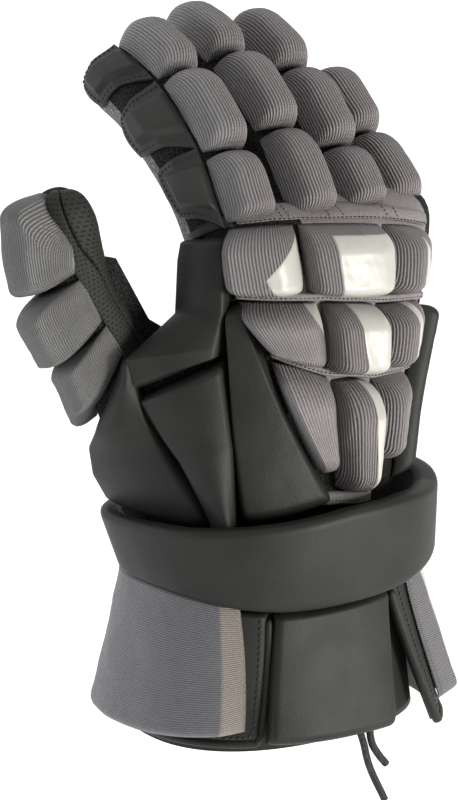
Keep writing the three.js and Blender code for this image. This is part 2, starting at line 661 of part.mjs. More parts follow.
// Wrist band: a padded hoop round the wrist, thinner across the palm
const BAND_SIDES = 10;
const BAND_POWER = 0.62;
function bandGeometry(grow) {
  return hoop(around((angle) => {
    const palm = THREE.MathUtils.smoothstep(Math.abs(angle), 100, 150);
    const thickness = THREE.MathUtils.lerp(BAND_THICKNESS, BAND_PALM_THICKNESS, palm) + grow;
    const middle = CUFF_HEIGHT + CLEARANCE + BAND_HEIGHT / 2 + sideRise(angle);
    return Array.from({ length: BAND_SIDES }, (_, i) => {
      const turn = (2 * Math.PI * (i + 0.5)) / BAND_SIDES;
      const out = CLEARANCE + (thickness / 2) * (1 + rounded(Math.cos(turn), BAND_POWER));
      const point = handPoint(angle, CUFF_HEIGHT, out);
      point.z = middle + (BAND_HEIGHT / 2 + grow) * rounded(Math.sin(turn), BAND_POWER);
      return point;
    });
  }));
}
addPiece("wrist_band", bandGeometry(0), "leather");

// Finger and thumb sleeves: thin tubes that start at the hand shell
const handClear = handSolid(shellBottom - 5, CLEARANCE);
digits.forEach((item, i) => {
  const tube = trimmed(digitSolid(item, tuckOf(item), 0), [bores[i], handClear]);
  addPiece(`${item.name}_sleeve`, toGeometry(tube), "mesh");
});
const digitClear = digits.map((item) => digitSolid(item, tuckOf(item), CLEARANCE));

// Foam pads on the fingers, one over each bone
const FINGER_PAD = {
  height: FINGER_PAD_HEIGHT, reach: 52, rounding: [0.16, 0.4], seat: FINGER_PAD_SEAT,
};
for (const item of fingers) {
  item.line.ends.forEach((end, i) => {
    const from = i === 0 ? KNUCKLE_GAP : item.line.ends[i - 1];
    const pad = digitPad(item, from, end, FINGER_PAD);
    const name = `${item.name}_pad_${i + 1}`;
    addPiece(name, i === 0 ? toGeometry(trimmed(toSolid(pad), [handClear])) : pad, "knit");
  });
}

// Leather scales on the index finger's side
for (const { name, rows } of INDEX_SCALES) {
  const scale = toSolid(digitScale(fingers[0], rows, FINGER_LENGTH));
  addPiece(name, toGeometry(trimmed(scale, [handClear])), "leather");
}

// Thumb pads, over all bones but the first
const thumbSeats = [];
thumb.line.ends.slice(1).forEach((to, i) => {
  const from = thumb.line.ends[i];
  const { height, reach, slant } = THUMB_PADS[i];
  const form = {
    height: height * THUMB_PAD_HEIGHT, rounding: [0.16, 0.3], seat: THUMB_PAD_SEAT, reach,
    slant: slant.map((share) => share * THUMB_LENGTH),
  };
  const pad = digitPad(thumb, from, to, form);
  addPiece(`thumb_pad_${i + 1}`, pad, "knit");
  thumbSeats.push(toSolid(pad), toSolid(digitPad(thumb, from, to, form, CLEARANCE)));
});

// Foam pads on the back of the hand
const PAD_FORM = {
  height: BACK_PAD_HEIGHT, corner: 0.2, roundAcross: 0.2, roundAlong: [0.3, 0.2], lean: 0.15,
  thinning: 0.65,
};
for (const { name, rows } of BACK_PADS) {
  const pad = backPad(rows, PAD_FORM);
  const besideIndex = name === "back_pad_1_radial";
  const trimmedPad = () => toGeometry(trimmed(toSolid(pad), [digitClear[0]]));
  addPiece(name, besideIndex ? trimmedPad() : pad, "knit");
}
const padClear = BACK_PADS.map(({ rows }) => toSolid(backPad(rows, PAD_FORM, CLEARANCE)));

// Leather guards on the back of the hand, beside the foam pads
const GUARD_FORM = { corner: 0.03, roundAcross: 0.1, roundAlong: [0.1, 0.1], lean: 0, thinning: 0 };
const dorsalForm = { ...GUARD_FORM, height: DORSAL_GUARD_HEIGHT };
const dorsal = trimmed(toSolid(backPad(DORSAL_GUARD, dorsalForm)), [handClear, ...padClear]);
addPiece("dorsal_guard", toGeometry(dorsal), "leather");
const ulnarForm = { ...GUARD_FORM, height: ULNAR_GUARD_HEIGHT };
const ulnar = trimmed(toSolid(backPad(ULNAR_GUARD, ulnarForm)), [handClear, ...padClear]);
addPiece("ulnar_guard", toGeometry(ulnar), "leather");

// Leather guards from the hand's side to the thumb, seated on the hand and the thumb, and the
// web between the thumb and the hand
const seats = [
  handClear, digitClear[0], digitClear.at(-1), ...padClear,
  toSolid(backPad(DORSAL_GUARD, dorsalForm, CLEARANCE)),
  toSolid(digitScale(fingers[0], INDEX_SCALES[0].rows, FINGER_LENGTH, CLEARANCE)),
  ...thumbSeats, toSolid(bandGeometry(CLEARANCE)),
];
for (const spec of RADIAL_GUARDS) {
  const guard = trimmed(plate(spec, GUARD_DEPTH), seats);
  seats.push(guard, plate(spec, GUARD_DEPTH + 6 * CLEARANCE, 3 * CLEARANCE));
  addPiece(spec.name, toGeometry(guard), "leather");
}
addPiece("thumb_web", toGeometry(trimmed(plate(THUMB_WEB, WEB_WALL), seats)), "mesh");

// Cuff: the sleeve round the wrist, the tongue down its back and a padded flap on each side
const cuffRing = (up, offset) => around((angle) => cuffPoint(angle, up, offset));
const CUFF_LEVELS = [0, 0.45, 1];
addPiece("cuff_sleeve", hoop([
  ...CUFF_LEVELS.map((up) => cuffRing(up, 0)),
  ...CUFF_LEVELS.toReversed().map((up) => cuffRing(up, -CUFF_WALL)),
]), "leather");
const tongueForm = { standoff: TONGUE_SPREAD, round: 0.08 };
addPiece("cuff_tongue", cuffPatch(TONGUE, CUFF_SEAT, TONGUE_WALL, tongueForm), "leather");
for (const { name, spread, flap, pad } of CUFF_SIDES) {
  const flapForm = { standoff: spread, round: 0.04 };
  addPiece(`${name}_flap`, cuffPatch(flap, CUFF_SEAT, FLAP_WALL, flapForm), "leather");
  const padForm = { standoff: spread, round: 0.06, headShare: 0.35 };
  const seat = 2 * CUFF_SEAT + FLAP_WALL;
  addPiece(`${name}_cuff_pad`, cuffPatch(pad, seat, CUFF_PAD_HEIGHT, padForm), "knit");
}

// Lace ends
const LACE_SIDES = 8;
const LACE_STEPS = 11;
const laceSection = new THREE.Shape(Array.from({ length: LACE_SIDES }, (_, i) => {
  const turn = (2 * Math.PI * i) / LACE_SIDES;
  return new THREE.Vector2(Math.cos(turn), Math.sin(turn)).multiplyScalar(LACE_DIAMETER / 2);
}));
for (const { name, points } of LACE_ROUTES) {
  const route = points.map(([x, y, z]) =>
    new THREE.Vector3(x * HAND_WIDTH, y * HAND_DEPTH, z * CUFF_HEIGHT));
  const extrudePath = new THREE.CatmullRomCurve3(route);
  const settings = { steps: LACE_STEPS, bevelEnabled: false, extrudePath };
  const tube = new THREE.ExtrudeGeometry(laceSection, settings);
  addPiece(name, toGeometry(toSolid(tube)), "lace");
}

export default glove;
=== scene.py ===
import math

import bmesh
import bpy
from mathutils import Matrix, Vector, noise


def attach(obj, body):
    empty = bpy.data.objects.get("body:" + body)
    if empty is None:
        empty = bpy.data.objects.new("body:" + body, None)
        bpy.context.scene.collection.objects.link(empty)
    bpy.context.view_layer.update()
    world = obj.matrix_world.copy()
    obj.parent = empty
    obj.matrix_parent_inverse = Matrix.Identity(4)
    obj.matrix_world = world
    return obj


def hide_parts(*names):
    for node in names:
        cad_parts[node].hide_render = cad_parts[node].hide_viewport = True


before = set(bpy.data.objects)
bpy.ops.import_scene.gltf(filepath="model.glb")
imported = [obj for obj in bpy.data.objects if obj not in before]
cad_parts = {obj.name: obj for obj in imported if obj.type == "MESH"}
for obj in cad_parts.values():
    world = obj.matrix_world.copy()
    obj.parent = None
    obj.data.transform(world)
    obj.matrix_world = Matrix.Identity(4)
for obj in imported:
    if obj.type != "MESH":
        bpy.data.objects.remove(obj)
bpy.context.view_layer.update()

# Camera: level with the middle of the glove, to the thumb's side of its back and a little above
# it, far enough off for the mild perspective of a product picture.
camera = bpy.data.objects.new("camera", bpy.data.cameras.new("camera"))
camera.data.lens = 100
camera.data.sensor_width = 36
camera.location = (-0.4967, -0.6808, 0.3032)
camera_aim = Vector((0.0020, 0.0314, 0.1184))
camera.rotation_euler = (camera_aim - camera.location).to_track_quat("-Z", "Y").to_euler()
bpy.context.scene.collection.objects.link(camera)
bpy.context.scene.camera = camera


# Studio: a white sweep under and behind the glove that glows a little, a warm lamp to the
# camera's right, a weak cool lamp on the thumb's side, and a room that is brighter behind and above.
GLOVE_MIDDLE = Vector((0.01, 0.0, 0.13))
SWEEP_SIZE, SWEEP_DROP = 40, 0.22


def lamp(name, place, size, power, colour):
    data = bpy.data.lights.new(name, "AREA")
    data.size = size
    data.energy = power
    data.color = colour
    shining = bpy.data.objects.new(name, data)
    shining.location = place
    aim = GLOVE_MIDDLE - Vector(place)
    shining.rotation_euler = aim.to_track_quat("-Z", "Y").to_euler()
    bpy.context.scene.collection.objects.link(shining)


lamp("key_lamp", (0.5, -1.1, 0.1), size=0.4, power=18, colour=(1.0, 0.97, 0.92))
lamp("thumb_side_lamp", (-1.1, 0.35, 0.3), size=0.5, power=4.5, colour=(0.8, 0.95, 1.0))
bpy.context.scene.view_settings.view_transform = "Standard"

floor_mesh = bmesh.new()
bmesh.ops.create_grid(floor_mesh, x_segments=1, y_segments=1, size=SWEEP_SIZE)
bmesh.ops.translate(floor_mesh, verts=floor_mesh.verts, vec=(0, 0, -SWEEP_DROP))
floor_data = bpy.data.meshes.new("floor")
floor_mesh.to_mesh(floor_data)
floor = bpy.data.objects.new("floor", floor_data)
bpy.context.scene.collection.objects.link(floor)


class Socket:
    """A shader value that adds its own Math node for each sum, product or comparison."""

    def __init__(self, tree, out):
        self.tree, self.out = tree, out

    def maths(self, operation, *values):
        inputs = dict(enumerate(values or (self,)))
        return add_node(self.tree, "ShaderNodeMath", {"operation": operation}, inputs)

    def __add__(self, other):
        return self.maths("ADD", self, other)

    def __sub__(self, other):
        return self.maths("SUBTRACT", self, other)

    def __rsub__(self, other):
        return self.maths("SUBTRACT", other, self)

    def __mul__(self, other):
        return self.maths("MULTIPLY", self, other)

    __radd__ = __add__
    __rmul__ = __mul__

    def ramp(self, low, high):
        """0 below low, 1 above high and smooth between them."""
        return add_node(
            self.tree,
            "ShaderNodeMapRange",
            {"interpolation_type": "SMOOTHSTEP"},
            {"Value": self, "From Min": low, "From Max": high},
        )


def add_node(tree, kind, settings, values, output=0):
    node = tree.nodes.new(kind)
    for key, value in settings.items():
        setattr(node, key, value)
    for key, value in values.items():
        if isinstance(value, Socket):
            tree.links.new(value.out, node.inputs[key])
        else:
            node.inputs[key].default_value = value
    return Socket(tree, node.outputs[output])


def finish(name, colour, roughness, bump=None, bump_depth=0.0003, **fixed):
    """A material with its Principled shader, from a function that builds its varying inputs."""
    made = bpy.data.materials.new(name)
    made.use_nodes = True
    tree = made.node_tree
    shader = tree.nodes["Principled BSDF"]
    for key, value in fixed.items():
        shader.inputs[key.replace("_", " ")].default_value = value
    tree.links.new(colour(tree).out, shader.inputs["Base Color"])
    if isinstance(roughness, float):
        shader.inputs["Roughness"].default_value = roughness
    else:
        tree.links.new(roughness(tree).out, shader.inputs["Roughness"])
    if bump:
        relief = add_node(tree, "ShaderNodeBump", {}, {"Height": bump(tree), "Distance": bump_depth})
        tree.links.new(relief.out, shader.inputs["Normal"])
    return made


def coordinates(tree, scale=(1, 1, 1)):
    where = add_node(tree, "ShaderNodeTexCoord", {}, {}, "Object")
    return add_node(tree, "ShaderNodeMapping", {}, {"Vector": where, "Scale": scale})


MIX_SHARE, MIX_LOW, MIX_HIGH, MIX_COLOUR_OUT = 0, 6, 7, 2


def blend_colour(tree, share, low, high):
    """Mixes two colours, each a Socket or (red, green, blue)."""
    low, high = (value if isinstance(value, Socket) else (*value, 1) for value in (low, high))
    inputs = {MIX_SHARE: share, MIX_LOW: low, MIX_HIGH: high}
    return add_node(tree, "ShaderNodeMix", {"data_type": "RGBA"}, inputs, MIX_COLOUR_OUT)


def grain(tree, size, detail=2.0, roughness=0.5):
    """Noise whose lumps are size metres across, 0 to 1."""
    return add_node(
        tree,
        "ShaderNodeTexNoise",
        {},
        {"Vector": coordinates(tree), "Scale": 1 / size, "Detail": detail, "Roughness": roughness},
    )


def parts(tree, vector):
    """The X, Y and Z of a vector."""
    node = tree.nodes.new("ShaderNodeSeparateXYZ")
    tree.links.new(vector.out, node.inputs[0])
    return [Socket(tree, part) for part in node.outputs]


floor_finish = finish(
    "white_sweep", lambda t: blend_colour(t, grain(t, 0.5), (0.9, 0.9, 0.9), (0.92, 0.92, 0.92)), 0.9,
    Emission_Color=(1, 1, 1, 1), Emission_Strength=0.35,
)
floor_data.materials.append(floor_finish)

world = bpy.data.worlds.new("white_room")
bpy.context.scene.world = world
world.use_nodes = True
room = world.node_tree
_, behind, above = parts(room, add_node(room, "ShaderNodeTexCoord", {}, {}, "Generated"))
room_light = (behind * 0.5 + above * 0.75).ramp(-0.3, 0.9)
room_colour = blend_colour(room, room_light, (0.14, 0.14, 0.14), (1.3, 1.3, 1.3))
room.links.new(room_colour.out, room.nodes["Background"].inputs["Color"])

# Lace ends: two round woven laces that hang from behind the cuff's tongue, cut and melted at
# their ends. Their routes are shares of the hand's width and depth and of the cuff's height, in
# millimetres.
HAND_WIDTH, HAND_DEPTH, CUFF_HEIGHT = 112, 54, 54
LACES = {
    "lace_long": (
        [(0.076, -0.833, 0.259), (0.073, -0.856, 0.167), (0.071, -0.876, 0.056),
         (0.085, -0.894, -0.074), (0.107, -0.894, -0.231), (0.175, -0.907, -0.528)],
        0.0455,
    ),
    "lace_short": (
        [(0.128, -0.819, 0.315), (0.119, -0.854, 0.167), (0.116, -0.874, 0.056),
         (0.121, -0.889, -0.074), (0.147, -0.887, -0.167), (0.183, -0.898, -0.265)],
        0.0335,
    ),
}
LACE_DIAMETER = 0.003


def woven(tree):
    steep = coordinates(tree, (900, 900, 420))
    return add_node(
        tree, "ShaderNodeTexWave", {"wave_type": "BANDS", "bands_direction": "DIAGONAL"},
        {"Vector": steep, "Scale": 1.0, "Distortion": 1.0},
    )


lace_finish = finish(
    "black_woven_lace",
    lambda t: blend_colour(t, woven(t), (0.004, 0.004, 0.005), (0.02, 0.02, 0.022)),
    roughness=0.75, bump=woven, bump_depth=0.0002,
)
for name, (route, length) in LACES.items():
    points = [Vector((x * HAND_WIDTH, y * HAND_DEPTH, z * CUFF_HEIGHT)) * 0.001 for x, y, z in route]
    curve = bpy.data.curves.new(name + "_cord", "CURVE")
    curve.dimensions = "3D"
    curve.bevel_depth = LACE_DIAMETER / 2
    curve.bevel_resolution = 3
    curve.use_fill_caps = True
    spline = curve.splines.new("BEZIER")
    spline.bezier_points.add(len(points) - 1)
    for knot, point in zip(spline.bezier_points, points):
        knot.co = point
        knot.handle_left_type = knot.handle_right_type = "AUTO"
    spline.resolution_u = 8
    curve.materials.append(lace_finish)
    cord = bpy.data.objects.new(name + "_cord", curve)
    bpy.context.scene.collection.objects.link(cord)
    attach(cord, "root")
    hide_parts(name)

# Hand shell: the bag that the hand goes into, with grey cloth under the pads on its back, black
# mesh along its sides and a soft leather palm, sewn together and open at the wrist and digits.
BACK_LENGTH, WRIST_Z = 115, 84
HAND_ROUNDNESS = 2.35
HAND_SECTIONS = [
    (-0.4, 0, 0, 0.446, 0.665),
    (-0.15, 0, 0, 0.446, 0.665),
    (0, 0.009, 0, 0.438, 0.648),
    (0.33, 0.054, -0.019, 0.446, 0.574),
    (0.635, 0.116, -0.037, 0.464, 0.509),
    (0.896, 0.161, -0.037, 0.473, 0.444),
    (0.983, 0.17, -0.019, 0.464, 0.407),
    (1.043, 0.17, 0.074, 0.446, 0.278),
]


def mix(low, high, share):
    return low + (high - low) * share


def clamp(value, low=0.0, high=1.0):
    return max(low, min(high, value))


def smooth(value, low, high):
    share = clamp((value - low) / (high - low))
    return share * share * (3 - 2 * share)


def signed_power(value, power):
    return math.copysign(abs(value) ** power, value)


def section(at):
    """The hand's shift and half size at a share of its back's length, on smooth curves."""
    table = HAND_SECTIONS
    i = 0
    while i < len(table) - 2 and at > table[i + 1][0]:
        i += 1
    span = table[i + 1][0] - table[i][0]
    t = clamp((at - table[i][0]) / span)

    def slope(k, key):
        low, high = table[max(k - 1, 0)], table[min(k + 1, len(table) - 1)]
        return (high[key] - low[key]) / (high[0] - low[0])

    return [
        (2 * t**3 - 3 * t**2 + 1) * table[i][key]
        + (t**3 - 2 * t**2 + t) * span * slope(i, key)
        + (3 * t**2 - 2 * t**3) * table[i + 1][key]
        + (t**3 - t**2) * span * slope(i + 1, key)
        for key in range(1, 5)
    ]


def hand_point(angle, z, out=0.0):
    shift_x, shift_y, half_width, half_depth = section((z - WRIST_Z) / BACK_LENGTH)
    turn = math.radians(angle)
    power = 2 / HAND_ROUNDNESS
    return Vector((
        HAND_WIDTH * shift_x + (HAND_WIDTH * half_width + out) * signed_power(math.sin(turn), power),
        HAND_DEPTH * shift_y - (HAND_DEPTH * half_depth + out) * signed_power(math.cos(turn), power),
        z,
    ))


def side_rise(angle):
    side = math.sin(math.radians(angle))
    return 8 * (side**2 if abs(angle) < 90 else 1) + 2 * side


def back_height(share, angle=0.0):
    return WRIST_Z + share * BACK_LENGTH + side_rise(angle) * max(0, 1 - share / 0.3)


def lay_sheet(bm, across, down, place, reading=None, slot=0, eased=(0.0, 0.0), spread=None):
    """Adds a grid to bm and moves its vertices to place(u, v), u and v from 0 to 1."""
    made = bmesh.ops.create_grid(bm, x_segments=across, y_segments=down, size=0.5)["verts"]
    readings = bm.loops.layers.uv.get("fabric") or bm.loops.layers.uv.new("fabric")
    outlines = bm.loops.layers.uv.get("shares") or bm.loops.layers.uv.new("shares")
    shares = {}
    for vert in made:
        share = [vert.co.x + 0.5, vert.co.y + 0.5]
        for k in (0, 1):
            share[k] = mix(share[k], 0.5 - 0.5 * math.cos(math.pi * share[k]), eased[k])
        if spread:
            share[0] = spread(share[0])
        shares[vert] = share
    for face in {face for vert in made for face in vert.link_faces}:
        middle_u = sum(shares[vert][0] for vert in face.verts) / len(face.verts)
        middle_v = sum(shares[vert][1] for vert in face.verts) / len(face.verts)
        face.material_index = slot(middle_u, middle_v) if callable(slot) else slot
        face.smooth = True
        for loop in face.loops:
            u, v = shares[loop.vert]
            loop[readings].uv = reading(u, v) if reading else (u, v)
            loop[outlines].uv = (u, v)
    for vert in made:
        vert.co = place(*shares[vert]) * 0.001
    return made


def piece(bm, name, finishes, merge=0.00002):
    """Makes an object of bm that rides on the glove."""
    bmesh.ops.remove_doubles(bm, verts=bm.verts, dist=merge)
    bmesh.ops.dissolve_degenerate(bm, edges=bm.edges, dist=1e-7)
    bmesh.ops.recalc_face_normals(bm, faces=bm.faces)
    data = bpy.data.meshes.new(name)
    bm.to_mesh(data)
    bm.free()
    for each in finishes:
        data.materials.append(each)
    made = bpy.data.objects.new(name, data)
    bpy.context.scene.collection.objects.link(made)
    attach(made, "root")
    return made


def plain_cloth(name, dark, light, **fixed):
    return finish(
        name, lambda t: blend_colour(t, grain(t, 0.0009, 3.0), dark, light), 0.85,
        lambda t: grain(t, 0.0007, 2.0), 0.0003, **fixed,
    )


back_cloth = plain_cloth("grey_back_cloth", (0.08, 0.073, 0.074), (0.24, 0.222, 0.22))


def mesh_holes(tree):
    cells = add_node(
        tree, "ShaderNodeTexVoronoi", {"feature": "DISTANCE_TO_EDGE"},
        {"Vector": coordinates(tree), "Scale": 850.0},
    )
    return cells.ramp(0.02, 0.28)


black_mesh = finish(
    "black_mesh",
    lambda t: blend_colour(t, mesh_holes(t), (0.018, 0.018, 0.018), (0.002, 0.002, 0.002)),
    roughness=0.9, bump=lambda t: 1 - mesh_holes(t), bump_depth=0.0004, Specular_IOR_Level=0.15,
)


def leather_height(tree):
    pebbles = add_node(
        tree, "ShaderNodeTexVoronoi", {"feature": "SMOOTH_F1"},
        {"Vector": coordinates(tree), "Scale": 1100.0},
    )
    return pebbles * 0.6 + grain(tree, 0.004, 3.0) * 0.1


def leather_colour(dark, light):
    return lambda t: blend_colour(t, grain(t, 0.02, 4.0).ramp(0.3, 0.7), dark, light)


palm_leather = finish(
    "palm_leather", leather_colour((0.018, 0.018, 0.017), (0.03, 0.03, 0.028)),
    roughness=0.75, bump=leather_height, bump_depth=0.0002,
)
SHELL_WALL, SHELL_TUCK = 2.0, 9
SHELL_BOTTOM = CUFF_HEIGHT - SHELL_TUCK
SHELL_TOP = WRIST_Z + HAND_SECTIONS[-1][0] * BACK_LENGTH
SHELL_AROUND, SHELL_UP, SHELL_CLOSING = 120, 70, 0.25
CLOTH_ZONE, MESH_ZONE, PALM_ZONE = 0, 1, 2
shell_mesh = bmesh.new()


def shell_zone(u, v):
    """Grey cloth under the pads, mesh at the sides and leather over the palm."""
    angle = 360 * u - 180
    if -20 < angle < 50 and v > 0.36:
        return CLOTH_ZONE
    return MESH_ZONE if abs(angle) < 118 else PALM_ZONE


def hand_wall(out):
    """The shell's outer or inner face: up the wall and over the top to its middle."""

    def place(u, v):
        angle = 360 * u - 180
        climb = v * (1 + SHELL_CLOSING)
        top = SHELL_TOP + out
        if climb <= 1:
            return hand_point(angle, mix(SHELL_BOTTOM, top, climb), out)
        shift_x, shift_y = HAND_SECTIONS[-1][1:3]
        middle = Vector((HAND_WIDTH * shift_x, HAND_DEPTH * shift_y, top))
        edge = hand_point(angle, top, out)
        share = (climb - 1) / SHELL_CLOSING
        return edge.lerp(middle, share) + Vector((0, 0, 1.5 * math.sin(math.pi * share / 2)))

    return place


lay_sheet(shell_mesh, SHELL_AROUND, SHELL_UP, hand_wall(0.0), slot=shell_zone)
lay_sheet(shell_mesh, SHELL_AROUND, SHELL_UP, hand_wall(-SHELL_WALL), slot=MESH_ZONE)
lay_sheet(
    shell_mesh, SHELL_AROUND, 1,
    lambda u, v: hand_point(360 * u - 180, SHELL_BOTTOM, -SHELL_WALL * v), slot=PALM_ZONE,
)
hand_shell = piece(shell_mesh, "sewn_hand_shell", [back_cloth, black_mesh, palm_leather])
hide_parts("hand_shell")

# Finger and thumb sleeves: tubes of black mesh with a grey mesh palm side, curled towards the
# palm and sewn into holes in the hand shell.
FINGER_PITCH, KNUCKLE_MIDDLE = 26.2, 0.176
FINGERS = {
    "index": ((-1.538, -0.131, 0.923), 2.4, -0.6, (0.264, 0.319, 0.31), (27.6, 46.2, 67.6)),
    "middle": ((-0.485, -0.194, 0.923), 2.6, -1.2, (0.34, 0.327, 0.334), (32.4, 48.5, 68.9)),
    "ring": ((0.504, -0.157, 0.919), 3.5, -0.6, (0.267, 0.327, 0.332), (36.8, 40.6, 62.2)),
    "little": ((1.492, -0.026, 0.907), 3, -2, (0.331, 0.318), (42.8, 45.7)),
}
THUMB = ((-0.411, 0.259, 0.06), -86, -28, (0.23, 0.28, 0.2, 0.29), (9, 3, -4, 26))
FINGER_LENGTH, FINGER_WIDTH, FINGER_DEPTH = 111, 24, 21
THUMB_LENGTH, THUMB_WIDTH, THUMB_DEPTH = 119, 27, 23
SLEEVE_WALL, SLEEVE_TUCK = 1.6, 6
SLEEVE_AROUND, SLEEVE_ALONG, LINING_ALONG = 64, 90, 50
BORE_AROUND, BORE_ALONG, BORE_REACH = 40, 30, 3


class Digit:
    """A finger's or thumb's middle line and section."""

    def __init__(self, root, spec, length, width, depth, palm=2.0, root_side=1.0, side=1.0, slope=0.0):
        _, turn, lean, bones, curls = spec
        self.root, self.curls = root, curls
        self.width, self.depth, self.palm = width, depth, palm
        self.root_side, self.side, self.slope = root_side, side, slope
        self.ends = [sum(bones[: i + 1]) * length for i in range(len(bones))]
        self.mids = [end - bone * length / 2 for end, bone in zip(self.ends, bones)]
        self.total = self.ends[-1]
        self.nose = depth / 2
        self.tip = self.total + 0.1 * self.nose
        basis = Matrix.Rotation(math.radians(lean), 3, "Y") @ Matrix.Rotation(math.radians(turn), 3, "Z")
        self.across, self.palmward, self.upright = (basis.col[k].copy() for k in range(3))
        self.line = {}

    def directions(self, s):
        i = 0
        while i < len(self.mids) - 2 and s > self.mids[i + 1]:
            i += 1
        share = clamp((s - self.mids[i]) / (self.mids[i + 1] - self.mids[i]))
        curl = math.radians(mix(self.curls[i], self.curls[i + 1], share))
        along = self.upright * math.cos(curl) + self.palmward * math.sin(curl)
        back = self.upright * math.sin(curl) - self.palmward * math.cos(curl)
        return along, back

    def centre(self, s):
        key = round(s, 2)
        if key not in self.line:
            steps = max(2, math.ceil(abs(s) / 2))
            point = self.root.copy()
            for i in range(steps):
                point += self.directions((i + 0.5) * s / steps)[0] * (s / steps)
            self.line[key] = point
        return self.line[key]

    def point(self, way, s, out=0.0):
        """A point on the outer face, at an angle round from the middle of the back."""
        angle = (way + 180) % 360 - 180
        turn = math.radians(angle)
        left = self.tip + out - s
        nose = self.nose * (1 + self.slope * max(0, -math.cos(turn)))
        close = math.sqrt(max(0, 1 - (1 - left / nose) ** 2)) if left < nose else 1
        share = clamp(s / self.total)
        taper = 1 - 0.1 * share
        side = mix(self.root_side, self.side, smooth(share, 0, 0.6))
        sideward = mix(1, side, smooth(-angle, 55, 105))
        palmward = self.palm if math.cos(turn) < 0 else 1
        width = (self.width / 2 * sideward * taper + out) * close
        depth = (self.depth / 2 * palmward * taper + out) * close
        return (
            self.centre(s)
            + self.across * (width * signed_power(math.sin(turn), 0.85))
            + self.directions(s)[1] * (depth * signed_power(math.cos(turn), 0.85))
        )

    def outward(self, way, s):
        turn = math.radians(way)
        return self.across * math.sin(turn) + self.directions(s)[1] * math.cos(turn)


def digit_root(spec, finger):
    x, y, z = spec[0]
    if finger:
        return Vector((
            HAND_WIDTH * KNUCKLE_MIDDLE + x * FINGER_PITCH, HAND_DEPTH * y, back_height(z),
        ))
    return Vector((HAND_WIDTH * x, HAND_DEPTH * y, back_height(z, 90)))


def finger(name, **shape):
    spec = FINGERS[name]
    return Digit(digit_root(spec, True), spec, FINGER_LENGTH, FINGER_WIDTH, FINGER_DEPTH, **shape)


digits = {name: finger(name) for name in FINGERS}
index = finger("index", palm=2.3, root_side=1.25, side=1.9)
thumb = Digit(
    digit_root(THUMB, False), THUMB, THUMB_LENGTH, THUMB_WIDTH, THUMB_DEPTH, palm=1.15, slope=1.2
)
digits.update(index=index, thumb=thumb)


def sleeve_wall(digit, start, out):
    end = digit.tip + out

    def place(u, v):
        reach = 1 - (1 - v) ** 1.6
        return digit.point(360 * u, mix(start, end - 0.001, reach), out)

    return place


BACK_MESH, PALM_MESH = 0, 1


def sleeve_zone(u, v):
    return PALM_MESH if 0.3 < u < 0.7 else BACK_MESH


def carve(body, cutters):
    """Cuts closed shapes out of a piece and keeps the result in its mesh."""
    for cutter in cutters:
        step = body.modifiers.new("cut", "BOOLEAN")
        step.operation = "DIFFERENCE"
        step.solver = "EXACT"
        step.object = cutter
    bpy.context.view_layer.update()
    shaped = body.evaluated_get(bpy.context.evaluated_depsgraph_get())
    result = bpy.data.meshes.new_from_object(shaped)
    body.modifiers.clear()
    body.data = result
    return body


palm_mesh = finish(
    "grey_palm_mesh",
    lambda t: blend_colour(t, mesh_holes(t), (0.17, 0.17, 0.16), (0.04, 0.04, 0.04)),
    roughness=0.8, bump=lambda t: 1 - mesh_holes(t), bump_depth=0.0005,
)
bore_cutters = []
for name, digit in digits.items():
    start = 0 if name == "thumb" else -SLEEVE_TUCK
    bore_start = start - BORE_REACH
    bore = bmesh.new()
    lay_sheet(bore, BORE_AROUND, BORE_ALONG, sleeve_wall(digit, bore_start, -SLEEVE_WALL))
    lay_sheet(
        bore, BORE_AROUND, 1,
        lambda u, v, d=digit, s=bore_start: d.point(360 * u, s, -SLEEVE_WALL).lerp(d.centre(s), v),
    )
    bmesh.ops.remove_doubles(bore, verts=bore.verts, dist=0.00002)
    bmesh.ops.recalc_face_normals(bore, faces=bore.faces)
    cutter_data = bpy.data.meshes.new(name + "_bore")
    bore.to_mesh(cutter_data)
    bore.free()
    cutter = bpy.data.objects.new(name + "_bore", cutter_data)
    bpy.context.scene.collection.objects.link(cutter)
    bore_cutters.append(cutter)

    tube = bmesh.new()
    lay_sheet(tube, SLEEVE_AROUND, SLEEVE_ALONG, sleeve_wall(digit, start, 0.0), slot=sleeve_zone)
    lay_sheet(tube, SLEEVE_AROUND, LINING_ALONG, sleeve_wall(digit, start, -SLEEVE_WALL), slot=PALM_MESH)
    lay_sheet(
        tube, SLEEVE_AROUND, 1, lambda u, v, d=digit, s=start: d.point(360 * u, s, -SLEEVE_WALL * v),
        slot=BACK_MESH,
    )
    sleeve = piece(tube, name + "_mesh_sleeve", [black_mesh, palm_mesh])
    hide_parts(name + "_sleeve")
carve(hand_shell, bore_cutters)
for cutter in bore_cutters:
    bpy.data.objects.remove(cutter)

# Finger pads: blocks of foam under ribbed knit, one over each finger bone, sewn down all round,
# with a full round lip at the end nearer the fingertip.
RIB, PAD_GAP = 1.3, 0.9
# The knit's groove colour is painted shade: the rib grooves are coloured darker than the ridges.
KNIT_GROOVE_SHADE, KNIT_RIDGE = (0.05, 0.045, 0.047), (0.215, 0.197, 0.196)


def uv_parts(tree, name="fabric"):
    where = add_node(tree, "ShaderNodeUVMap", {"uv_map": name}, {})
    return parts(tree, where)[:2]


def rib_height(tree):
    """Round ribs, one for each whole number of the piece's own U reading."""
    across, _ = uv_parts(tree)
    return (across * math.tau).maths("SINE") * 0.5 + 0.5


def knit_height(tree):
    _, along = uv_parts(tree)
    stitch = ((along * math.tau).maths("SINE") * 0.5 + 0.5) * 0.35
    return rib_height(tree) * 0.75 + stitch * rib_height(tree) + grain(tree, 0.0006, 2.0) * 0.25


def knit_colour_with_groove_shade(dark, light):
    def colour(tree):
        # Painted shade: darker in the rib grooves, with a random thread tone from the grain.
        thread = rib_height(tree).ramp(0.05, 0.8) * 0.7 + grain(tree, 0.0011, 3.0) * 0.3
        return blend_colour(tree, thread, dark, light)

    return colour


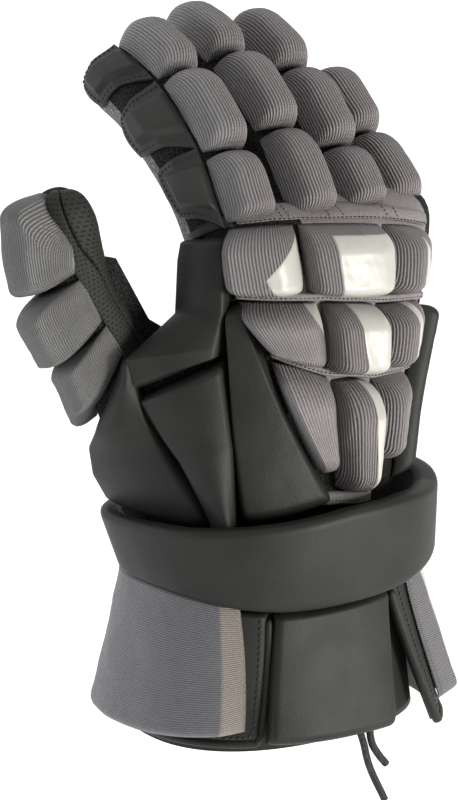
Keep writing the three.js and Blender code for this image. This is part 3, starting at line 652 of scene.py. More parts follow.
knit = finish(
    "ribbed_knit", knit_colour_with_groove_shade(KNIT_GROOVE_SHADE, KNIT_RIDGE), 0.48, knit_height, 0.0004,
    Sheen_Weight=0.12, Sheen_Roughness=0.4,
)


def quarter_round(share, start, end):
    def rise(t):
        return math.sqrt(max(0, 1 - (1 - min(t, 1)) ** 2))

    return rise(share / start) * rise((1 - share) / end)


def rounded(left, right, head, foot):
    """A sheet's rise from 0 at its four edges to 1, by a quarter round over a share of it at each."""
    return lambda u, v: quarter_round(u, left, right) * quarter_round(v, head, foot)


def pull_corners(u, v, amount):
    p, q = 2 * u - 1, 2 * v - 1
    return (
        0.5 + 0.5 * p * math.sqrt(1 - amount * q * q / 2),
        0.5 + 0.5 * q * math.sqrt(1 - amount * p * p / 2),
    )


def follow(table, key, result, value):
    """Reads a table of rising pairs at a value of one of its columns."""
    i = 1
    while i < len(table) - 1 and table[i][key] < value:
        i += 1
    low, high = table[i - 1], table[i]
    share = clamp((value - low[key]) / max(high[key] - low[key], 1e-9))
    return mix(low[result], high[result], share)


def quilt(
    name, place, lift, rib, rows, finishes, relief=0.12, reading=None, eased=(0.0, 0.6), dents=1.0,
    plain=lambda u, v: 0.0,
):
    """A sewn pad: a grid raised by lift(u, v), ribbed lengthwise, over a flat underside."""
    widest = max((0.12, 0.3, 0.45, 0.6), key=lambda v: place.lane(1, v) - place.lane(0, v))
    measure, last, reach = [], None, 0.0
    for i in range(61):
        point = place(i / 60, widest, lift(i / 60, widest))
        reach += (point - last).length if last else 0.0
        measure.append((i / 60, place.lane(i / 60, widest), reach))
        last = point
    ribs = round(reach / rib)

    def across(u, v):
        return follow(measure, 1, 2, place.lane(u, v)) / reach * ribs

    def top(u, v):
        rise = lift(u, v)
        ridge = relief * math.cos(math.tau * across(u, v)) * smooth(rise, 0.1, 0.6) * (1 - plain(u, v))
        point = place(u, v, rise, ridge)
        dent = noise.noise(point * 0.09) * 0.5 + noise.noise(point * 0.3) * 0.15
        return point + place.out(u, v) * (dent * dents * smooth(rise, 0.2, 1.0))

    bm = bmesh.new()
    reading = reading or (lambda u, v: (across(u, v) + 0.25, rows * 1.2 * v))
    for face in (top, lambda u, v: place(u, v, 0)):
        lay_sheet(
            bm, ribs * 4, rows, face, reading, 0, eased, lambda u: follow(measure, 2, 0, u * reach)
        )
    return piece(bm, name, finishes, 1e-6)


class DigitPad:
    def __init__(self, digit, start, end, height, reach, seat=0.2, slant=(0, 0), right_side=(1.0, 1.0)):
        self.digit, self.start, self.end, self.height, self.seat = digit, start, end, height, seat
        self.slant, self.right_side = slant, right_side
        self.edge = math.radians(reach)
        self.foot = digit.depth / 2 * signed_power(math.cos(self.edge), 0.85)

    def locate(self, u, v):
        p, q = pull_corners(u, v, 0.3)
        slanted = max(0, (p - 0.25) / 0.75)
        start = self.start + PAD_GAP / 2 + self.slant[0] * slanted
        end = self.end - PAD_GAP / 2 + self.slant[1] * slanted
        turn = self.edge * (2 * p - 1)
        if turn > 0:
            turn *= mix(*self.right_side, smooth(q, 0.15, 1.05))
        return turn, mix(start, end, q)

    def lane(self, u, v):
        return self.locate(u, v)[0]

    def out(self, u, v):
        return self.digit.directions(self.locate(u, v)[1])[1]

    def __call__(self, u, v, rise, ridge=0.0):
        turn, s = self.locate(u, v)
        digit = self.digit
        along, back = digit.directions(s)
        foot = digit.point(math.degrees(turn), s, self.seat)
        bow = max(0, (math.cos(turn) - math.cos(self.edge)) / (1 - math.cos(self.edge)))
        side = digit.width / 2 + 0.5
        spread = signed_power(math.sin(turn) / math.sin(self.edge), 0.8) * math.sin(self.edge) ** 0.85
        top = (
            digit.centre(s)
            + digit.across * (side * spread)
            + back * (self.foot + (digit.depth / 2 + self.height - self.foot) * math.sqrt(bow))
            - along * (0.16 * self.height)
        )
        outward = digit.across * math.sin(turn) + back * math.cos(turn)
        return foot.lerp(top, rise) + outward * ridge


for name in FINGERS:
    digit = digits[name]
    for i, end in enumerate(digit.ends):
        start = 2 if i == 0 else digit.ends[i - 1]
        pad = quilt(
            f"{name}_ribbed_pad_{i + 1}", DigitPad(digit, start, end, height=11, reach=52),
            rounded(0.3, 0.36, 0.22, 0.4), RIB, rows=34, finishes=[knit],
        )
        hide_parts(f"{name}_pad_{i + 1}")

# Index scales: three plates of grey leather over thin foam along the index finger's thumb side,
# each sewn down along a flat border.
INDEX_SCALES = {
    "index_scale_base": ((-108, 0.303, -53, 0.303), (-108, 0.114, -53, 0.01)),
    "index_scale_middle": ((-110, 0.573, -53, 0.6), (-117, 0.4, -53, 0.29)),
    "index_scale_tip": ((-111, 0.85, -53, 0.87), (-117, 0.71, -53, 0.6)),
}
SCALE_CELL = 2


def outline(rows, u, v):
    place = v * (len(rows) - 1)
    i = min(int(place), len(rows) - 2)
    row = [mix(a, b, place - i) for a, b in zip(rows[i], rows[i + 1])]
    half = len(row) // 2
    return [mix(a, b, u) for a, b in zip(row[:half], row[half:])]


class Scale:
    def __init__(self, digit, rows):
        self.digit, self.rows = digit, rows

    def locate(self, u, v):
        angle, share = outline(self.rows, u, v)
        return angle, share * FINGER_LENGTH, 1.5 * (1 - u) * math.sin(math.pi * v)

    def lane(self, u, v):
        return u

    def out(self, u, v):
        angle, s, _ = self.locate(u, v)
        return self.digit.outward(angle, s)

    def __call__(self, u, v, rise, ridge=0.0):
        angle, s, flare = self.locate(u, v)
        return self.digit.point(angle, s, 0.8 + flare + 4 * rise + ridge)


def bordered(u, v):
    """A sewn border, then a soft rise to the padded middle."""
    edge = min(u, v, 1 - v)
    border = 0.3 * smooth(min(edge, 1 - u), 0.0, 0.02)
    return border + 0.7 * smooth(edge, 0.17, 0.3) * smooth(1 - u, 0.0, 0.16)


TRAIL_STEPS = 60


def trail(at, out, corners, count):
    """Evenly spaced points, headings and outward directions along a path of (u, v) corners."""
    places = [
        (mix(a[0], b[0], k / TRAIL_STEPS), mix(a[1], b[1], k / TRAIL_STEPS))
        for a, b in zip(corners, corners[1:]) for k in range(TRAIL_STEPS)
    ] + [corners[-1]]
    points = [at(*place) for place in places]
    reach = [0.0]
    for a, b in zip(points, points[1:]):
        reach.append(reach[-1] + (b - a).length)
    stations, k = [], 0
    for i in range(count):
        goal = reach[-1] * (i + 0.5) / count
        while k < len(points) - 2 and reach[k + 1] < goal:
            k += 1
        share = (goal - reach[k]) / max(reach[k + 1] - reach[k], 1e-9)
        heading = (points[k + 1] - points[k]).normalized()
        stations.append((points[k].lerp(points[k + 1], share), heading, out(*places[k]), reach[-1]))
    return stations


thread = finish(
    "black_thread",
    lambda t: blend_colour(t, grain(t, 0.0005), (0.004, 0.004, 0.004), (0.02, 0.02, 0.02)),
    roughness=0.7,
)


def across_top(shape, rise):
    """Where a point of a shape lies at a height of its rise, and which way is out there."""
    return lambda u, v: shape(u, v, rise), shape.out


def sew(name, at, out, rows, pitch=2.1, length=1.5, girth=0.5):
    """Rows of stitches, each an elongated bead of thread along a path of (u, v) corners."""
    bm = bmesh.new()
    for corners in rows:
        span = trail(at, out, corners, 1)[0][3]
        for point, heading, outward, _ in trail(at, out, corners, max(1, round(span / pitch))):
            turn = heading.to_track_quat("Z", "Y").to_matrix().to_4x4()
            shape = Matrix.Diagonal((girth, girth, length, 1)) * 0.001
            shape[3][3] = 1
            bead = bmesh.ops.create_icosphere(bm, subdivisions=1, radius=0.5)["verts"]
            seat = Matrix.Translation((point + outward * 0.1) * 0.001)
            bmesh.ops.transform(bm, verts=bead, matrix=seat @ turn @ shape)
    for face in bm.faces:
        face.smooth = True
    return piece(bm, name, [thread], 1e-7)


def leather_gloss(tree):
    return 0.47 + grain(tree, 0.012, 3.0) * 0.12


scale_leather = finish(
    "grey_scale_leather", leather_colour((0.02, 0.0202, 0.0188), (0.029, 0.0294, 0.0268)), leather_gloss,
    bump=leather_height, bump_depth=0.0001, Specular_IOR_Level=0.22,
)
for name, rows in INDEX_SCALES.items():
    shape = Scale(index, rows)
    scale = quilt(
        name + "_plate", shape, bordered, SCALE_CELL, rows=60, finishes=[scale_leather], relief=0.0, dents=0.5
    )
    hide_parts(name)
    sew(
        name + "_stitches", lambda u, v, shape=shape: shape(u, v, bordered(u, v)), shape.out,
        [((0.94, 0.91), (0.12, 0.91), (0.1, 0.88), (0.1, 0.12), (0.12, 0.09), (0.94, 0.09))],
        pitch=2.1, length=1.6, girth=0.8,
    )

# Thumb pads: three blocks of foam under finely ribbed knit that wrap round the back of the
# thumb, sewn down all round to its sleeve. Each row is a pad's height, reach and slanted ends.
THUMB_RIB = 0.95
# The thumb's knit is a more neutral grey, and it is also painted darker than the other knit as painted shade,
# away from the key lamp.
thumb_knit_painted_darker = finish(
    "thumb_ribbed_knit_with_painted_shade", knit_colour_with_groove_shade((0.036, 0.035, 0.034), (0.14, 0.136, 0.133)),
    roughness=0.5, bump=knit_height, bump_depth=0.0003,
)
THUMB_PADS = ((12, 90, (0.25, 0.08)), (14.4, 84, (0.08, 0.048)), (12, 72, (0.048, 0)))
THUMB_PAD_SIDES = ((1.12, 1.04), (1.04, 1.04), (1.15, 0.25))
for i, (height, reach, slant) in enumerate(THUMB_PADS):
    shape = DigitPad(
        thumb, thumb.ends[i], thumb.ends[i + 1], height, reach, seat=0.6,
        slant=[share * THUMB_LENGTH for share in slant], right_side=THUMB_PAD_SIDES[i],
    )
    pad = quilt(
        f"thumb_ribbed_pad_{i + 1}", shape, rounded(0.25, 0.14, 0.14, 0.2), THUMB_RIB, rows=34,
        finishes=[thumb_knit_painted_darker], relief=0.07,
    )
    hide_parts(f"thumb_pad_{i + 1}")

# Thumb strips: two strips of olive leather punched with rows of slots, sewn side by side along
# the thumb's side and over its tip.
STRIP_EDGES = {
    "near": ((88, 72, 58), (118, 112, 60)),
    "far": ((119, 113, 60), (160, 160, 30)),
}
STRIP_START, STRIP_CELL, SLOT_ROW = 30, 2, 0.62


def perforations(tree):
    """Rows of short slots, offset from row to row, 0 in a slot and 1 between them."""
    across, along = uv_parts(tree)
    row = (along * SLOT_ROW).maths("FLOOR")
    place = (across * 0.5 + row * 0.5).maths("FRACT")
    side = (place - 0.5).maths("ABSOLUTE").ramp(0.2, 0.28)
    depth = ((along * SLOT_ROW).maths("FRACT") - 0.5).maths("ABSOLUTE").ramp(0.12, 0.24)
    return side.maths("MAXIMUM", side, depth)


perforated = finish(
    "olive_perforated_leather",
    lambda t: blend_colour(t, perforations(t), (0.003, 0.003, 0.003), (0.0145, 0.0155, 0.0115)),
    roughness=0.7, bump=perforations, bump_depth=0.0004, Specular_IOR_Level=0.25,
)


class ThumbStrip:
    """A strip along the thumb between two angles round it, each given at the base and the tip."""

    def __init__(self, left, right, start, end):
        self.left, self.right, self.start, self.end = left, right, start, end

    def locate(self, u, v):
        swept = smooth(v, 0.55, 1.0)
        left = mix(self.left[0], self.left[1], v) - self.left[2] * swept
        right = mix(self.right[0], self.right[1], v) - self.right[2] * swept
        return mix(left, right, u), mix(self.start, self.end, v)

    def lane(self, u, v):
        return u

    def out(self, u, v):
        return thumb.outward(*self.locate(u, v))

    def __call__(self, u, v, rise, ridge=0.0):
        angle, s = self.locate(u, v)
        return thumb.point(angle, s, -0.3 + 1.6 * rise + ridge)


for name, (left, right) in STRIP_EDGES.items():
    shape = ThumbStrip(left, right, STRIP_START, thumb.tip - 0.4)
    strip = quilt(
        name + "_perforated_strip", shape, rounded(0.1, 0.1, 0.03, 0.03), STRIP_CELL, rows=70,
        finishes=[perforated], relief=0.0, reading=lambda u, v: (11 * u, 86 * v),
    )
    sew(
        name + "_strip_stitches", *across_top(shape, 0.8), [((0.06, 0.02), (0.06, 0.97))],
        pitch=1.7, length=1.2, girth=0.4,
    )

# Back pads: nine blocks of foam under ribbed knit in three rows, with pale vinyl set into the
# middle and right columns.
BACK_PADS = {
    "back_pad_1_radial": ((-65, 0.972, -25, 0.98), (-59, 0.76, -18.5, 0.748)),
    "back_pad_1_middle": ((-25, 0.98, 12, 0.957), (-18.5, 0.748, 13, 0.716)),
    "back_pad_1_ulnar": ((12, 0.957, 46, 0.915), (13, 0.716, 48, 0.7)),
    "back_pad_2_radial": ((-56, 0.745, -12, 0.728), (-34, 0.575, -7, 0.5)),
    "back_pad_2_middle": ((-12, 0.728, 11, 0.7), (-7, 0.487, 13, 0.465)),
    "back_pad_2_ulnar": ((11, 0.7, 46, 0.685), (13, 0.475, 48, 0.47)),
    "back_pad_3_radial": ((-35, 0.56, -3.5, 0.48), (-7, 0.165, -1.5, 0.175)),
    "back_pad_3_middle": ((-3.5, 0.473, 13.5, 0.45), (1, 0.09, 12, 0.075)),
    "back_pad_3_ulnar": ((14, 0.462, 42, 0.455), (15, 0.165, 44, 0.16)),
}


class OnHand:
    """A shape round the hand: its locate(u, v) begins with the angle from the back's middle."""

    def lane(self, u, v):
        return u

    def out(self, u, v):
        turn = math.radians(self.locate(u, v)[0])
        return Vector((math.sin(turn), -math.cos(turn), 0))


class BackPad(OnHand):
    def __init__(self, rows, height, corner, lean, thinning, seat=0.2):
        self.rows, self.height, self.corner = rows, height, corner
        self.lean, self.thinning, self.seat = lean, thinning, seat

    def locate(self, u, v):
        p, q = pull_corners(u, v, self.corner)
        angle, share = outline(self.rows, p, q)
        drawn_in = math.degrees(PAD_GAP / HAND_WIDTH) * (1 - 2 * p)
        return angle, drawn_in, back_height(share, angle) + PAD_GAP * (q - 0.5)

    def lane(self, u, v):
        return pull_corners(u, v, self.corner)[0]

    def __call__(self, u, v, rise, ridge=0.0):
        angle, drawn_in, z = self.locate(u, v)
        height = self.height * rise * (1 - self.thinning * smooth(angle, 10, 46))
        point = hand_point(angle + drawn_in, z, self.seat + height + ridge)
        point.z -= self.lean * height
        return point


VINYL = {
    "back_pad_1_radial": ((1, 0.76, 1.07), (1, -0.294, 0.391)),
    "back_pad_1_middle": ((1, 0, 0.335), (-1, 0, -0.965), (0, 1, 0.075)),
    "back_pad_1_ulnar": ((1, 0, 0.33), (-1, 0.86, -0.24)),
    "back_pad_2_radial": ((1, -0.25, 0.84),),
    "back_pad_2_middle": ((1, -0.02, 0.4), (-1, 0, -0.96)),
    "back_pad_2_ulnar": ((1, 0, 0.32), (-1, -0.1, -0.52)),
    "back_pad_3_middle": ((1, -0.2, 0.46), (-1, -0.2, -0.95)),
}


def set_in(lines, u, v, edge, step):
    """1 inside all of an inlay's edge lines and 0 outside any of them."""
    inside = 1
    for across, down, start in lines:
        inside = step(u * across + v * down - start, -edge, edge) * inside
    return inside


def knit_with_inlay(name, lines, groove_shade=KNIT_GROOVE_SHADE, ridge=KNIT_RIDGE):
    """Ribbed knit with a smooth off-white vinyl inlay."""

    def inlay(tree, edge=0.006):
        return set_in(lines, *uv_parts(tree, "shares"), edge, Socket.ramp)

    def colour(tree):
        vinyl = blend_colour(tree, grain(tree, 0.01, 3.0), (0.33, 0.323, 0.29), (0.38, 0.375, 0.355))
        return blend_colour(tree, inlay(tree), knit_colour_with_groove_shade(groove_shade, ridge)(tree), vinyl)

    def height(tree):
        return knit_height(tree) * (1 - inlay(tree)) + inlay(tree, 0.02) * 0.9

    return finish(name, colour, lambda t: 0.5 - inlay(t) * 0.15, bump=height, bump_depth=0.0004)


for name, rows in BACK_PADS.items():
    lines = VINYL.get(name)
    looks = knit_with_inlay(name.replace("pad", "knit_and_vinyl"), lines) if lines else knit
    pad = quilt(
        name.replace("pad", "ribbed_pad"), BackPad(rows, height=15, corner=0.2, lean=0.15, thinning=0.65),
        rounded(0.24, 0.3, 0.3, 0.24), RIB, rows=44, finishes=[looks],
        plain=lambda u, v, lines=lines: set_in(lines, u, v, 0.012, smooth) if lines else 0,
    )
    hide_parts(name)

# Knuckle strip and seam strips: folded bands of grey cloth that the rows of pads are sewn to,
# with bar tacks between the fingers.
STRIPS = {
    "knuckle_strip": (
        ((-58, 0.998), (-35, 1.007), (-20.5, 1.007), (0, 0.998), (14.5, 0.985), (46, 0.943)), 5.5, 2.2,
    ),
    "upper_seam_strip": (((-56, 0.755), (-20, 0.74), (-10, 0.735), (12, 0.707), (46, 0.69)), 3.4, 3.2),
    "lower_seam_strip": (((-34, 0.57), (-7, 0.492), (13, 0.46), (44, 0.462)), 3.4, 3.2),
    "wrist_seam_strip": (((-14, 0.105), (-2, 0.075), (13, 0.05), (17, 0.05)), 5.5, 4.0),
}
BAR_TACKS = 0.27, 0.32, 0.52, 0.575, 0.8, 0.835


class ClothStrip(OnHand):
    """A band round the hand's back that follows a line of (angle, share) places."""

    def __init__(self, line, width, thickness):
        self.line, self.width, self.thickness = line, width, thickness

    def locate(self, u, v):
        place = u * (len(self.line) - 1)
        i = min(int(place), len(self.line) - 2)
        angle, share = (mix(a, b, place - i) for a, b in zip(self.line[i], self.line[i + 1]))
        return angle, back_height(share, angle) + self.width * (0.5 - v)

    def __call__(self, u, v, rise, ridge=0.0):
        angle, z = self.locate(u, v)
        return hand_point(angle, z, 0.1 + self.thickness * rise + ridge)


for name, (line, width, thickness) in STRIPS.items():
    shape = ClothStrip(line, width, thickness)
    strip = quilt(
        name, shape, rounded(0.02, 0.02, 0.25, 0.25), STRIP_CELL, rows=14, finishes=[back_cloth],
        relief=0.0, dents=0.4,
    )
    rows = [((0.02, 0.6), (0.98, 0.6))]
    if name == "knuckle_strip":
        rows = [((0.02, 0.86), (0.98, 0.86))] + [((u, 0.1), (u, 0.8)) for u in BAR_TACKS]
    sew(name + "_stitches", *across_top(shape, 0.95), rows, pitch=1.9, length=1.4, girth=0.6)

# Side strap: a short band of charcoal leather round the hand's side below the index scales,
# folded over a thin filling and sewn down along its upper edge.
leather = finish(
    "charcoal_leather", leather_colour((0.0105, 0.0108, 0.0094), (0.0155, 0.016, 0.0135)), leather_gloss,
    bump=leather_height, bump_depth=0.0001, Specular_IOR_Level=0.19,
)
strap_shape = ClothStrip(
    ((-112, 0.93), (-90, 0.945), (-70, 0.985), (-60, 0.99)), width=6, thickness=1.8
)
strap = quilt(
    "index_side_strap", strap_shape, rounded(0.03, 0.03, 0.2, 0.2), STRIP_CELL, rows=12,
    finishes=[leather], relief=0.0, dents=0.3,
)
sew(
    "index_side_strap_stitches", *across_top(strap_shape, 1), [((0.04, 0.25), (0.96, 0.25))],
    pitch=2.1, length=1.6, girth=0.8,
)

# Guards on the back of the hand: charcoal leather over firm foam, sewn down at their edges. A
# three-cornered one lies between the pads and the thumb, and a long one by the little finger.
GUARD_CELL = 2.5
GUARDS = {
    "dorsal_guard": (((-58, 0.732, -49, 0.738), (-42, 0.0, 1, 0.06)), 11),
    "ulnar_guard": (((51, 0.66, 96, 0.62), (49, 0.4, 100, 0.38), (46, 0.025, 104, 0.025)), 8),
}
for name, (rows, height) in GUARDS.items():
    guard = quilt(
        name + "_block", BackPad(rows, height, corner=0.03, lean=0, thinning=0),
        rounded(0.12, 0.12, 0.08, 0.08), GUARD_CELL, rows=70, finishes=[leather], relief=0.0, dents=0.5,
    )
    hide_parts(name)

# Guards between the hand and the thumb: thick leather-covered foam plates whose inner faces
# rest on the hand and the thumb, and the thin black mesh web above them.
RADIAL_GUARDS = {
    "radial_upper_guard": (0.03, (
        (-0.4, -0.056, 0.93, -0.318, -0.39, 0.937),
        (-0.414, -0.045, 0.86, -0.318, -0.44, 0.86),
        (-0.434, -0.074, 0.69, -0.335, -0.47, 0.709),
        (-0.65, -0.093, 0.561, -0.353, -0.485, 0.596),
        (-0.62, -0.111, 0.448, -0.36, -0.48, 0.572),
    )),
    "radial_lower_guard": (0.05, (
        (-0.605, -0.1, 0.435, -0.349, -0.505, 0.565),
        (-0.51, -0.36, 0.22, -0.343, -0.594, 0.28),
        (-0.42, -0.58, -0.04, -0.359, -0.64, -0.04),
    )),
    "thumb_base_guard": (0.05, (
        (-0.6, -0.02, 0.575, -0.58, -0.1, 0.575),
        (-0.645, 0, 0.474, -0.58, -0.12, 0.49),
        (-0.67, 0.185, 0.31, -0.55, -0.2, 0.38),
        (-0.64, 0.4, 0.22, -0.5, -0.3, 0.27),
        (-0.6, 0.5, 0.1, -0.455, -0.42, 0.13),
        (-0.53, 0.5, -0.04, -0.4, -0.54, -0.04),
    )),
}
THUMB_WEB = (
    (-0.7, 0.074, 0.9, -0.59, 0.111, 0.87),
    (-0.68, 0.074, 0.739, -0.451, 0.148, 0.657),
    (-0.64, 0.074, 0.574, -0.375, 0.111, 0.609),
    (-0.6, 0.1, 0.3, -0.36, 0.12, 0.3),
)


def in_hand(point):
    shift_x, shift_y, half_width, half_depth = section((point.z - WRIST_Z) / BACK_LENGTH)
    x = abs(point.x - HAND_WIDTH * shift_x) / (HAND_WIDTH * half_width)
    y = abs(point.y - HAND_DEPTH * shift_y) / (HAND_DEPTH * half_depth)
    return x**HAND_ROUNDNESS + y**HAND_ROUNDNESS < 1


class Plate:
    def __init__(self, rows, bulge, depth):
        self.rows, self.bulge, self.depth = rows, bulge, depth
        self.seats = {}

    def face(self, u, v):
        x, y, share = outline(self.rows, u, v)
        x, y = x * HAND_WIDTH, y * HAND_DEPTH
        return Vector((x, y, back_height(share, math.degrees(math.atan2(x, -y)))))

    def out(self, u, v):
        across = self.face(min(u + 0.3, 1), v) - self.face(max(u - 0.3, 0), v)
        down = self.face(u, min(v + 0.3, 1)) - self.face(u, max(v - 0.3, 0))
        return down.cross(across).normalized()

    def inward(self, u, v):
        return (-self.out(u, v)).lerp(Vector((0.5, 0.86, 0)), 0.85 * smooth(u, 0.3, 0.9)).normalized()

    def seat(self, u, v):
        """How far in the plate goes before it meets the hand."""
        key = (round(u, 4), round(v, 4))
        if key not in self.seats:
            point, inward, deep = self.face(u, v), self.inward(u, v), 0.0
            while deep < self.depth and not in_hand(point + inward * deep):
                deep += 0.5
            self.seats[key] = deep
        return self.seats[key]

    def __call__(self, u, v, rise, ridge=0.0):
        bow = self.bulge * HAND_WIDTH * 4 * u * (1 - u)
        seated = self.inward(u, v) * (self.seat(u, v) * (1 - rise))
        return self.face(u, v) + self.out(u, v) * bow + seated


def plate_piece(name, shape, lift, finishes, across=44, down=56):
    bm = bmesh.new()
    for face in (lambda u, v: shape(u, v, lift(u, v)), lambda u, v: shape(u, v, 0)):
        lay_sheet(bm, across, down, face, eased=(0.6, 0.6))
    return piece(bm, name, finishes, 1e-6)


for name, (bulge, rows) in RADIAL_GUARDS.items():
    guard = plate_piece(
        name + "_block", Plate(rows, bulge, depth=17), rounded(0.08, 0.14, 0.06, 0.06), [leather]
    )
    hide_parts(name)
CREVICE = ((-0.57, -0.04, 0.52, -0.335, -0.36, 0.65), (-0.55, -0.07, 0.36, -0.335, -0.4, 0.46))
crevice = plate_piece(
    "guard_crevice_lining", Plate(CREVICE, bulge=0, depth=6), rounded(0.1, 0.1, 0.1, 0.1), [black_mesh],
    across=20, down=12,
)
web = plate_piece(
    "thumb_mesh_web", Plate(THUMB_WEB, bulge=0, depth=2.5), rounded(0.03, 0.03, 0.03, 0.03), [black_mesh]
)
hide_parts("thumb_web")

# Wrist band: a thick band of foam under charcoal leather round the wrist, thinner at the palm,
# with a black cloth lining that slopes in from its upper rim. It is sewn to the shell and the cuff.
BAND_STEPS, BAND_AROUND = 9, 180
BAND_THICK, BAND_THIN = 20.5, 9
BAND_HEIGHTS = ((-180, 27), (-95, 27), (-60, 30), (-30, 34.5), (0, 38.5), (20, 38), (50, 32), (180, 28))
BAND_LEATHER, BAND_LINING = 0, 1
black_lining = plain_cloth("black_lining", (0.003, 0.003, 0.003), (0.012, 0.012, 0.012))
band_sections = {}


def band_section(angle):
    """(out, up) points round the band's section: a flat face, a rolled rim and a sloped lining."""
    thick = mix(BAND_THICK, BAND_THIN, smooth(abs(angle), 100, 150))
    height = follow(BAND_HEIGHTS, 0, 1, angle)
    foot = thick * mix(0.82, 0.55, smooth(-angle, 15, 80))
    brim = thick * mix(1.0, 0.86, smooth(angle, 15, 55))
    corners = (
        (0.3, 1.5, 1), (foot, 0, 5), (brim, height, 4.5), (brim - 8, height - 0.5, 2.5),
        (0.3, height - 13, 2),
    )
    points = []
    for k, (out, up, reach) in enumerate(corners):
        corner = Vector((out, up))
        before = (Vector(corners[k - 1][:2]) - corner).normalized()
        after = (Vector(corners[(k + 1) % len(corners)][:2]) - corner).normalized()
        for i in range(BAND_STEPS + 1):
            t = i / BAND_STEPS
            points.append(corner + before * (reach * (1 - t) ** 2) + after * (reach * t**2))
    return points


def band_face(u, v):
    angle = 360 * u - 180
    if angle not in band_sections:
        band_sections[angle] = band_section(angle)
    outline_points = band_sections[angle]
    out, up = outline_points[round(v * len(outline_points)) % len(outline_points)]
    point = hand_point(angle, CUFF_HEIGHT, out)
    point.z = CUFF_HEIGHT + 0.3 + side_rise(angle) + up
    return point


def band_out(u, v):
    turn = math.tau * u - math.pi
    return Vector((math.sin(turn), -math.cos(turn), 0.6)).normalized()


band_mesh = bmesh.new()
lay_sheet(
    band_mesh, BAND_AROUND, 5 * (BAND_STEPS + 1), band_face,
    slot=lambda u, v: BAND_LINING if 0.75 < v < 0.9 else BAND_LEATHER,
)
band = piece(band_mesh, "padded_wrist_band", [leather, black_lining])
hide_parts("wrist_band")
sew(
    "wrist_band_stitches", band_face, band_out, [((0.08, 0.76), (0.92, 0.76))],
    pitch=2.6, length=1.8, girth=0.6,
)

# Cuff: a leather sleeve that flares from the wrist, with a leather tongue down its back and a
# flap on each side that carries a knit-covered foam pad.
CUFF_WALL, CUFF_CLEARANCE, CUFF_FLARE = 2.5, 0.3, 6
CUFF_AROUND, CUFF_UP = 120, 24


def cuff_point(angle, up, out=0.0, standoff=0.0):
    spread = (CUFF_FLARE + standoff) * max(0, 1 - up) ** 1.3
    point = hand_point(angle, CUFF_HEIGHT, CUFF_CLEARANCE + CUFF_WALL + spread + out)
    point.z = (CUFF_HEIGHT + side_rise(angle)) * up
    return point


sleeve_mesh = bmesh.new()
for out in (0.0, -CUFF_WALL):
    lay_sheet(sleeve_mesh, CUFF_AROUND, CUFF_UP, lambda u, v, out=out: cuff_point(360 * u - 180, v, out))
for up in (0, 1):
    lay_sheet(
        sleeve_mesh, CUFF_AROUND, 1, lambda u, v, up=up: cuff_point(360 * u - 180, up, -CUFF_WALL * v)
    )
cuff_sleeve = piece(sleeve_mesh, "leather_cuff_sleeve", [leather])
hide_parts("cuff_sleeve")


class CuffPatch(OnHand):
    def __init__(self, rows, offset, height, standoff, head_share=1.0, corner=0.06):
        self.rows, self.offset, self.height = rows, offset, height
        self.standoff, self.head_share, self.corner = standoff, head_share, corner

    def locate(self, u, v):
        p, q = pull_corners(u, v, self.corner)
        return (*outline(self.rows, p, q), self.height * mix(self.head_share, 1, q))

    def __call__(self, u, v, rise, ridge=0.0):
        angle, up, tall = self.locate(u, v)
        return cuff_point(angle, up, self.offset + rise * tall + ridge, self.standoff)


CUFF_SEAT = 0.9
TONGUE = ((-25, 0.98, 24, 0.98), (-29, 0.08, 15.5, 0.03))
CUFF_SIDES = {
    "radial": (
        1, ((-140, 0.97, -26, 0.97), (-140, 0.1, -30, 0.07)),
        ((-132, 1.03, -38.5, 1.03), (-132, 0.03, -35.5, 0.16)),
    ),
    "ulnar": (
        6, ((26, 0.97, 140, 0.97), (45, -0.1, 140, 0.03)),
        ((36, 1.03, 132, 1.03), (53, 0, 132, 0.06)),
    ),
}
tongue = plate_piece(
    "leather_cuff_tongue", CuffPatch(TONGUE, CUFF_SEAT, height=6, standoff=6),
    rounded(0.08, 0.08, 0.06, 0.1), [leather],
)
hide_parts("cuff_tongue")
ROLL_AROUND, ROLL_STEPS, ROLL_END_ROUNDING = 14, 119, 60
BEVEL_FOOT_WIDTH, BEVEL_FOOT, BEVEL_WIDTH = 0.012, 0.3, 0.085


def rolled_edge(name, at, out, corners, radius):
    """A round binding of leather along a path of (u, v) corners."""
    stations = trail(at, out, corners, ROLL_STEPS + 1)

    def place(u, v):
        point, heading, outward, _ = stations[round(v * ROLL_STEPS)]
        aside = heading.cross(outward).normalized()
        upward = aside.cross(heading).normalized()
        full = math.sqrt(max(0.0, 1 - (2 * v - 1) ** ROLL_END_ROUNDING))
        turn = math.tau * u
        return point + (aside * math.cos(turn) + upward * math.sin(turn)) * (radius * full)

    bm = bmesh.new()
    lay_sheet(bm, ROLL_AROUND, ROLL_STEPS, place)
    return piece(bm, name, [leather], 1e-5)


def bevelled(share):
    """A steep foot and then a flat bevel up to the full height."""
    foot = BEVEL_FOOT * clamp(share / BEVEL_FOOT_WIDTH)
    return foot + (1 - BEVEL_FOOT) * clamp((share - BEVEL_FOOT_WIDTH) / BEVEL_WIDTH)


def cuff_pad_lift(u, v):
    """The rise of a cuff pad whose bevelled edge is at u = 1."""
    return rounded(0.06, 0.001, 0.01, 0.09)(u, v) * bevelled(1 - u)


# Knit colour pairs, groove and ridge; the grooves are painted shade. The taupe pair is lighter and warmer: a
# warmer tint and a painted sheen on the radial pad's bevel.
CUFF_KNIT = ((0.065, 0.062, 0.068), (0.15, 0.146, 0.155))
TAUPE_KNIT_WITH_PAINTED_SHEEN = ((0.1, 0.088, 0.077), (0.26, 0.232, 0.205))
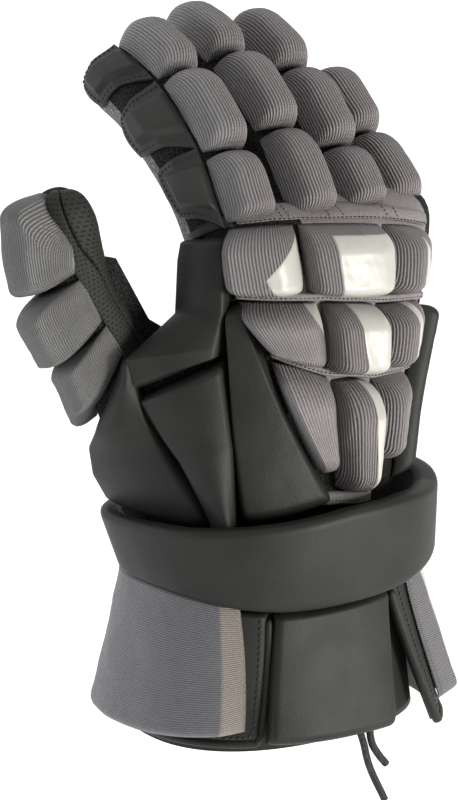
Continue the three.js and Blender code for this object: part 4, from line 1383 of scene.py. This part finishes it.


# The bevel strip at the pad's edge is painted lighter, as a painted highlight.
def knit_with_painted_bevel_sheen(tree):
    across, _ = uv_parts(tree, "shares")
    return blend_colour(
        tree, across.ramp(0.9, 0.915), knit_colour_with_groove_shade(*CUFF_KNIT)(tree), knit_colour_with_groove_shade(*TAUPE_KNIT_WITH_PAINTED_SHEEN)(tree)
    )


cuff_knits = {
    "radial": finish(
        "radial_cuff_knit", knit_with_painted_bevel_sheen, roughness=0.5, bump=knit_height, bump_depth=0.0004
    ),
    "ulnar": knit_with_inlay(
        "ulnar_cuff_knit", ((1, -0.08, 0.1), (-1, 0, -0.4), (0, -1, -0.68)), *CUFF_KNIT
    ),
}
cuff_lifts = {"radial": cuff_pad_lift, "ulnar": lambda u, v: cuff_pad_lift(1 - u, v)}
CUFF_PAD_CELL = 2.2
FLAP_EDGES = {
    "radial": (((1, 0.02), (1, 0.93), (0.985, 1), (0.01, 1)), 1.5),
    "ulnar": (((0, 0.02), (0, 0.95), (0.015, 1), (0.99, 1)), 2.0),
}
FLAP_SEAMS = {
    "radial": [((0.966, 0.04), (0.966, 0.88), (0.955, 0.945), (0.3, 0.955))],
    "ulnar": [((0.04, 0.04), (0.04, 0.93), (0.6, 0.96))],
}
for side, (standoff, flap_rows, pad_rows) in CUFF_SIDES.items():
    shape = CuffPatch(flap_rows, CUFF_SEAT, height=3.5, standoff=standoff)
    flap = plate_piece(
        side + "_leather_flap", shape, rounded(0.03, 0.03, 0.04, 0.06), [leather], across=90, down=40
    )
    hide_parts(side + "_flap")
    corners, radius = FLAP_EDGES[side]
    roll = rolled_edge(side + "_flap_roll", *across_top(shape, 0.7), corners, radius)
    sew(
        side + "_flap_stitches", *across_top(shape, 1), FLAP_SEAMS[side],
        pitch=2.4, length=1.8, girth=0.9,
    )
    pad_shape = CuffPatch(
        pad_rows, offset=5.0, height=9, standoff=standoff, head_share=0.35, corner=0.12
    )
    pad = quilt(
        side + "_ribbed_cuff_pad", pad_shape, cuff_lifts[side], CUFF_PAD_CELL, rows=50,
        finishes=[cuff_knits[side]], relief=0.0, reading=lambda u, v: (64 * v, 120 * u),
    )
    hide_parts(side + "_cuff_pad")
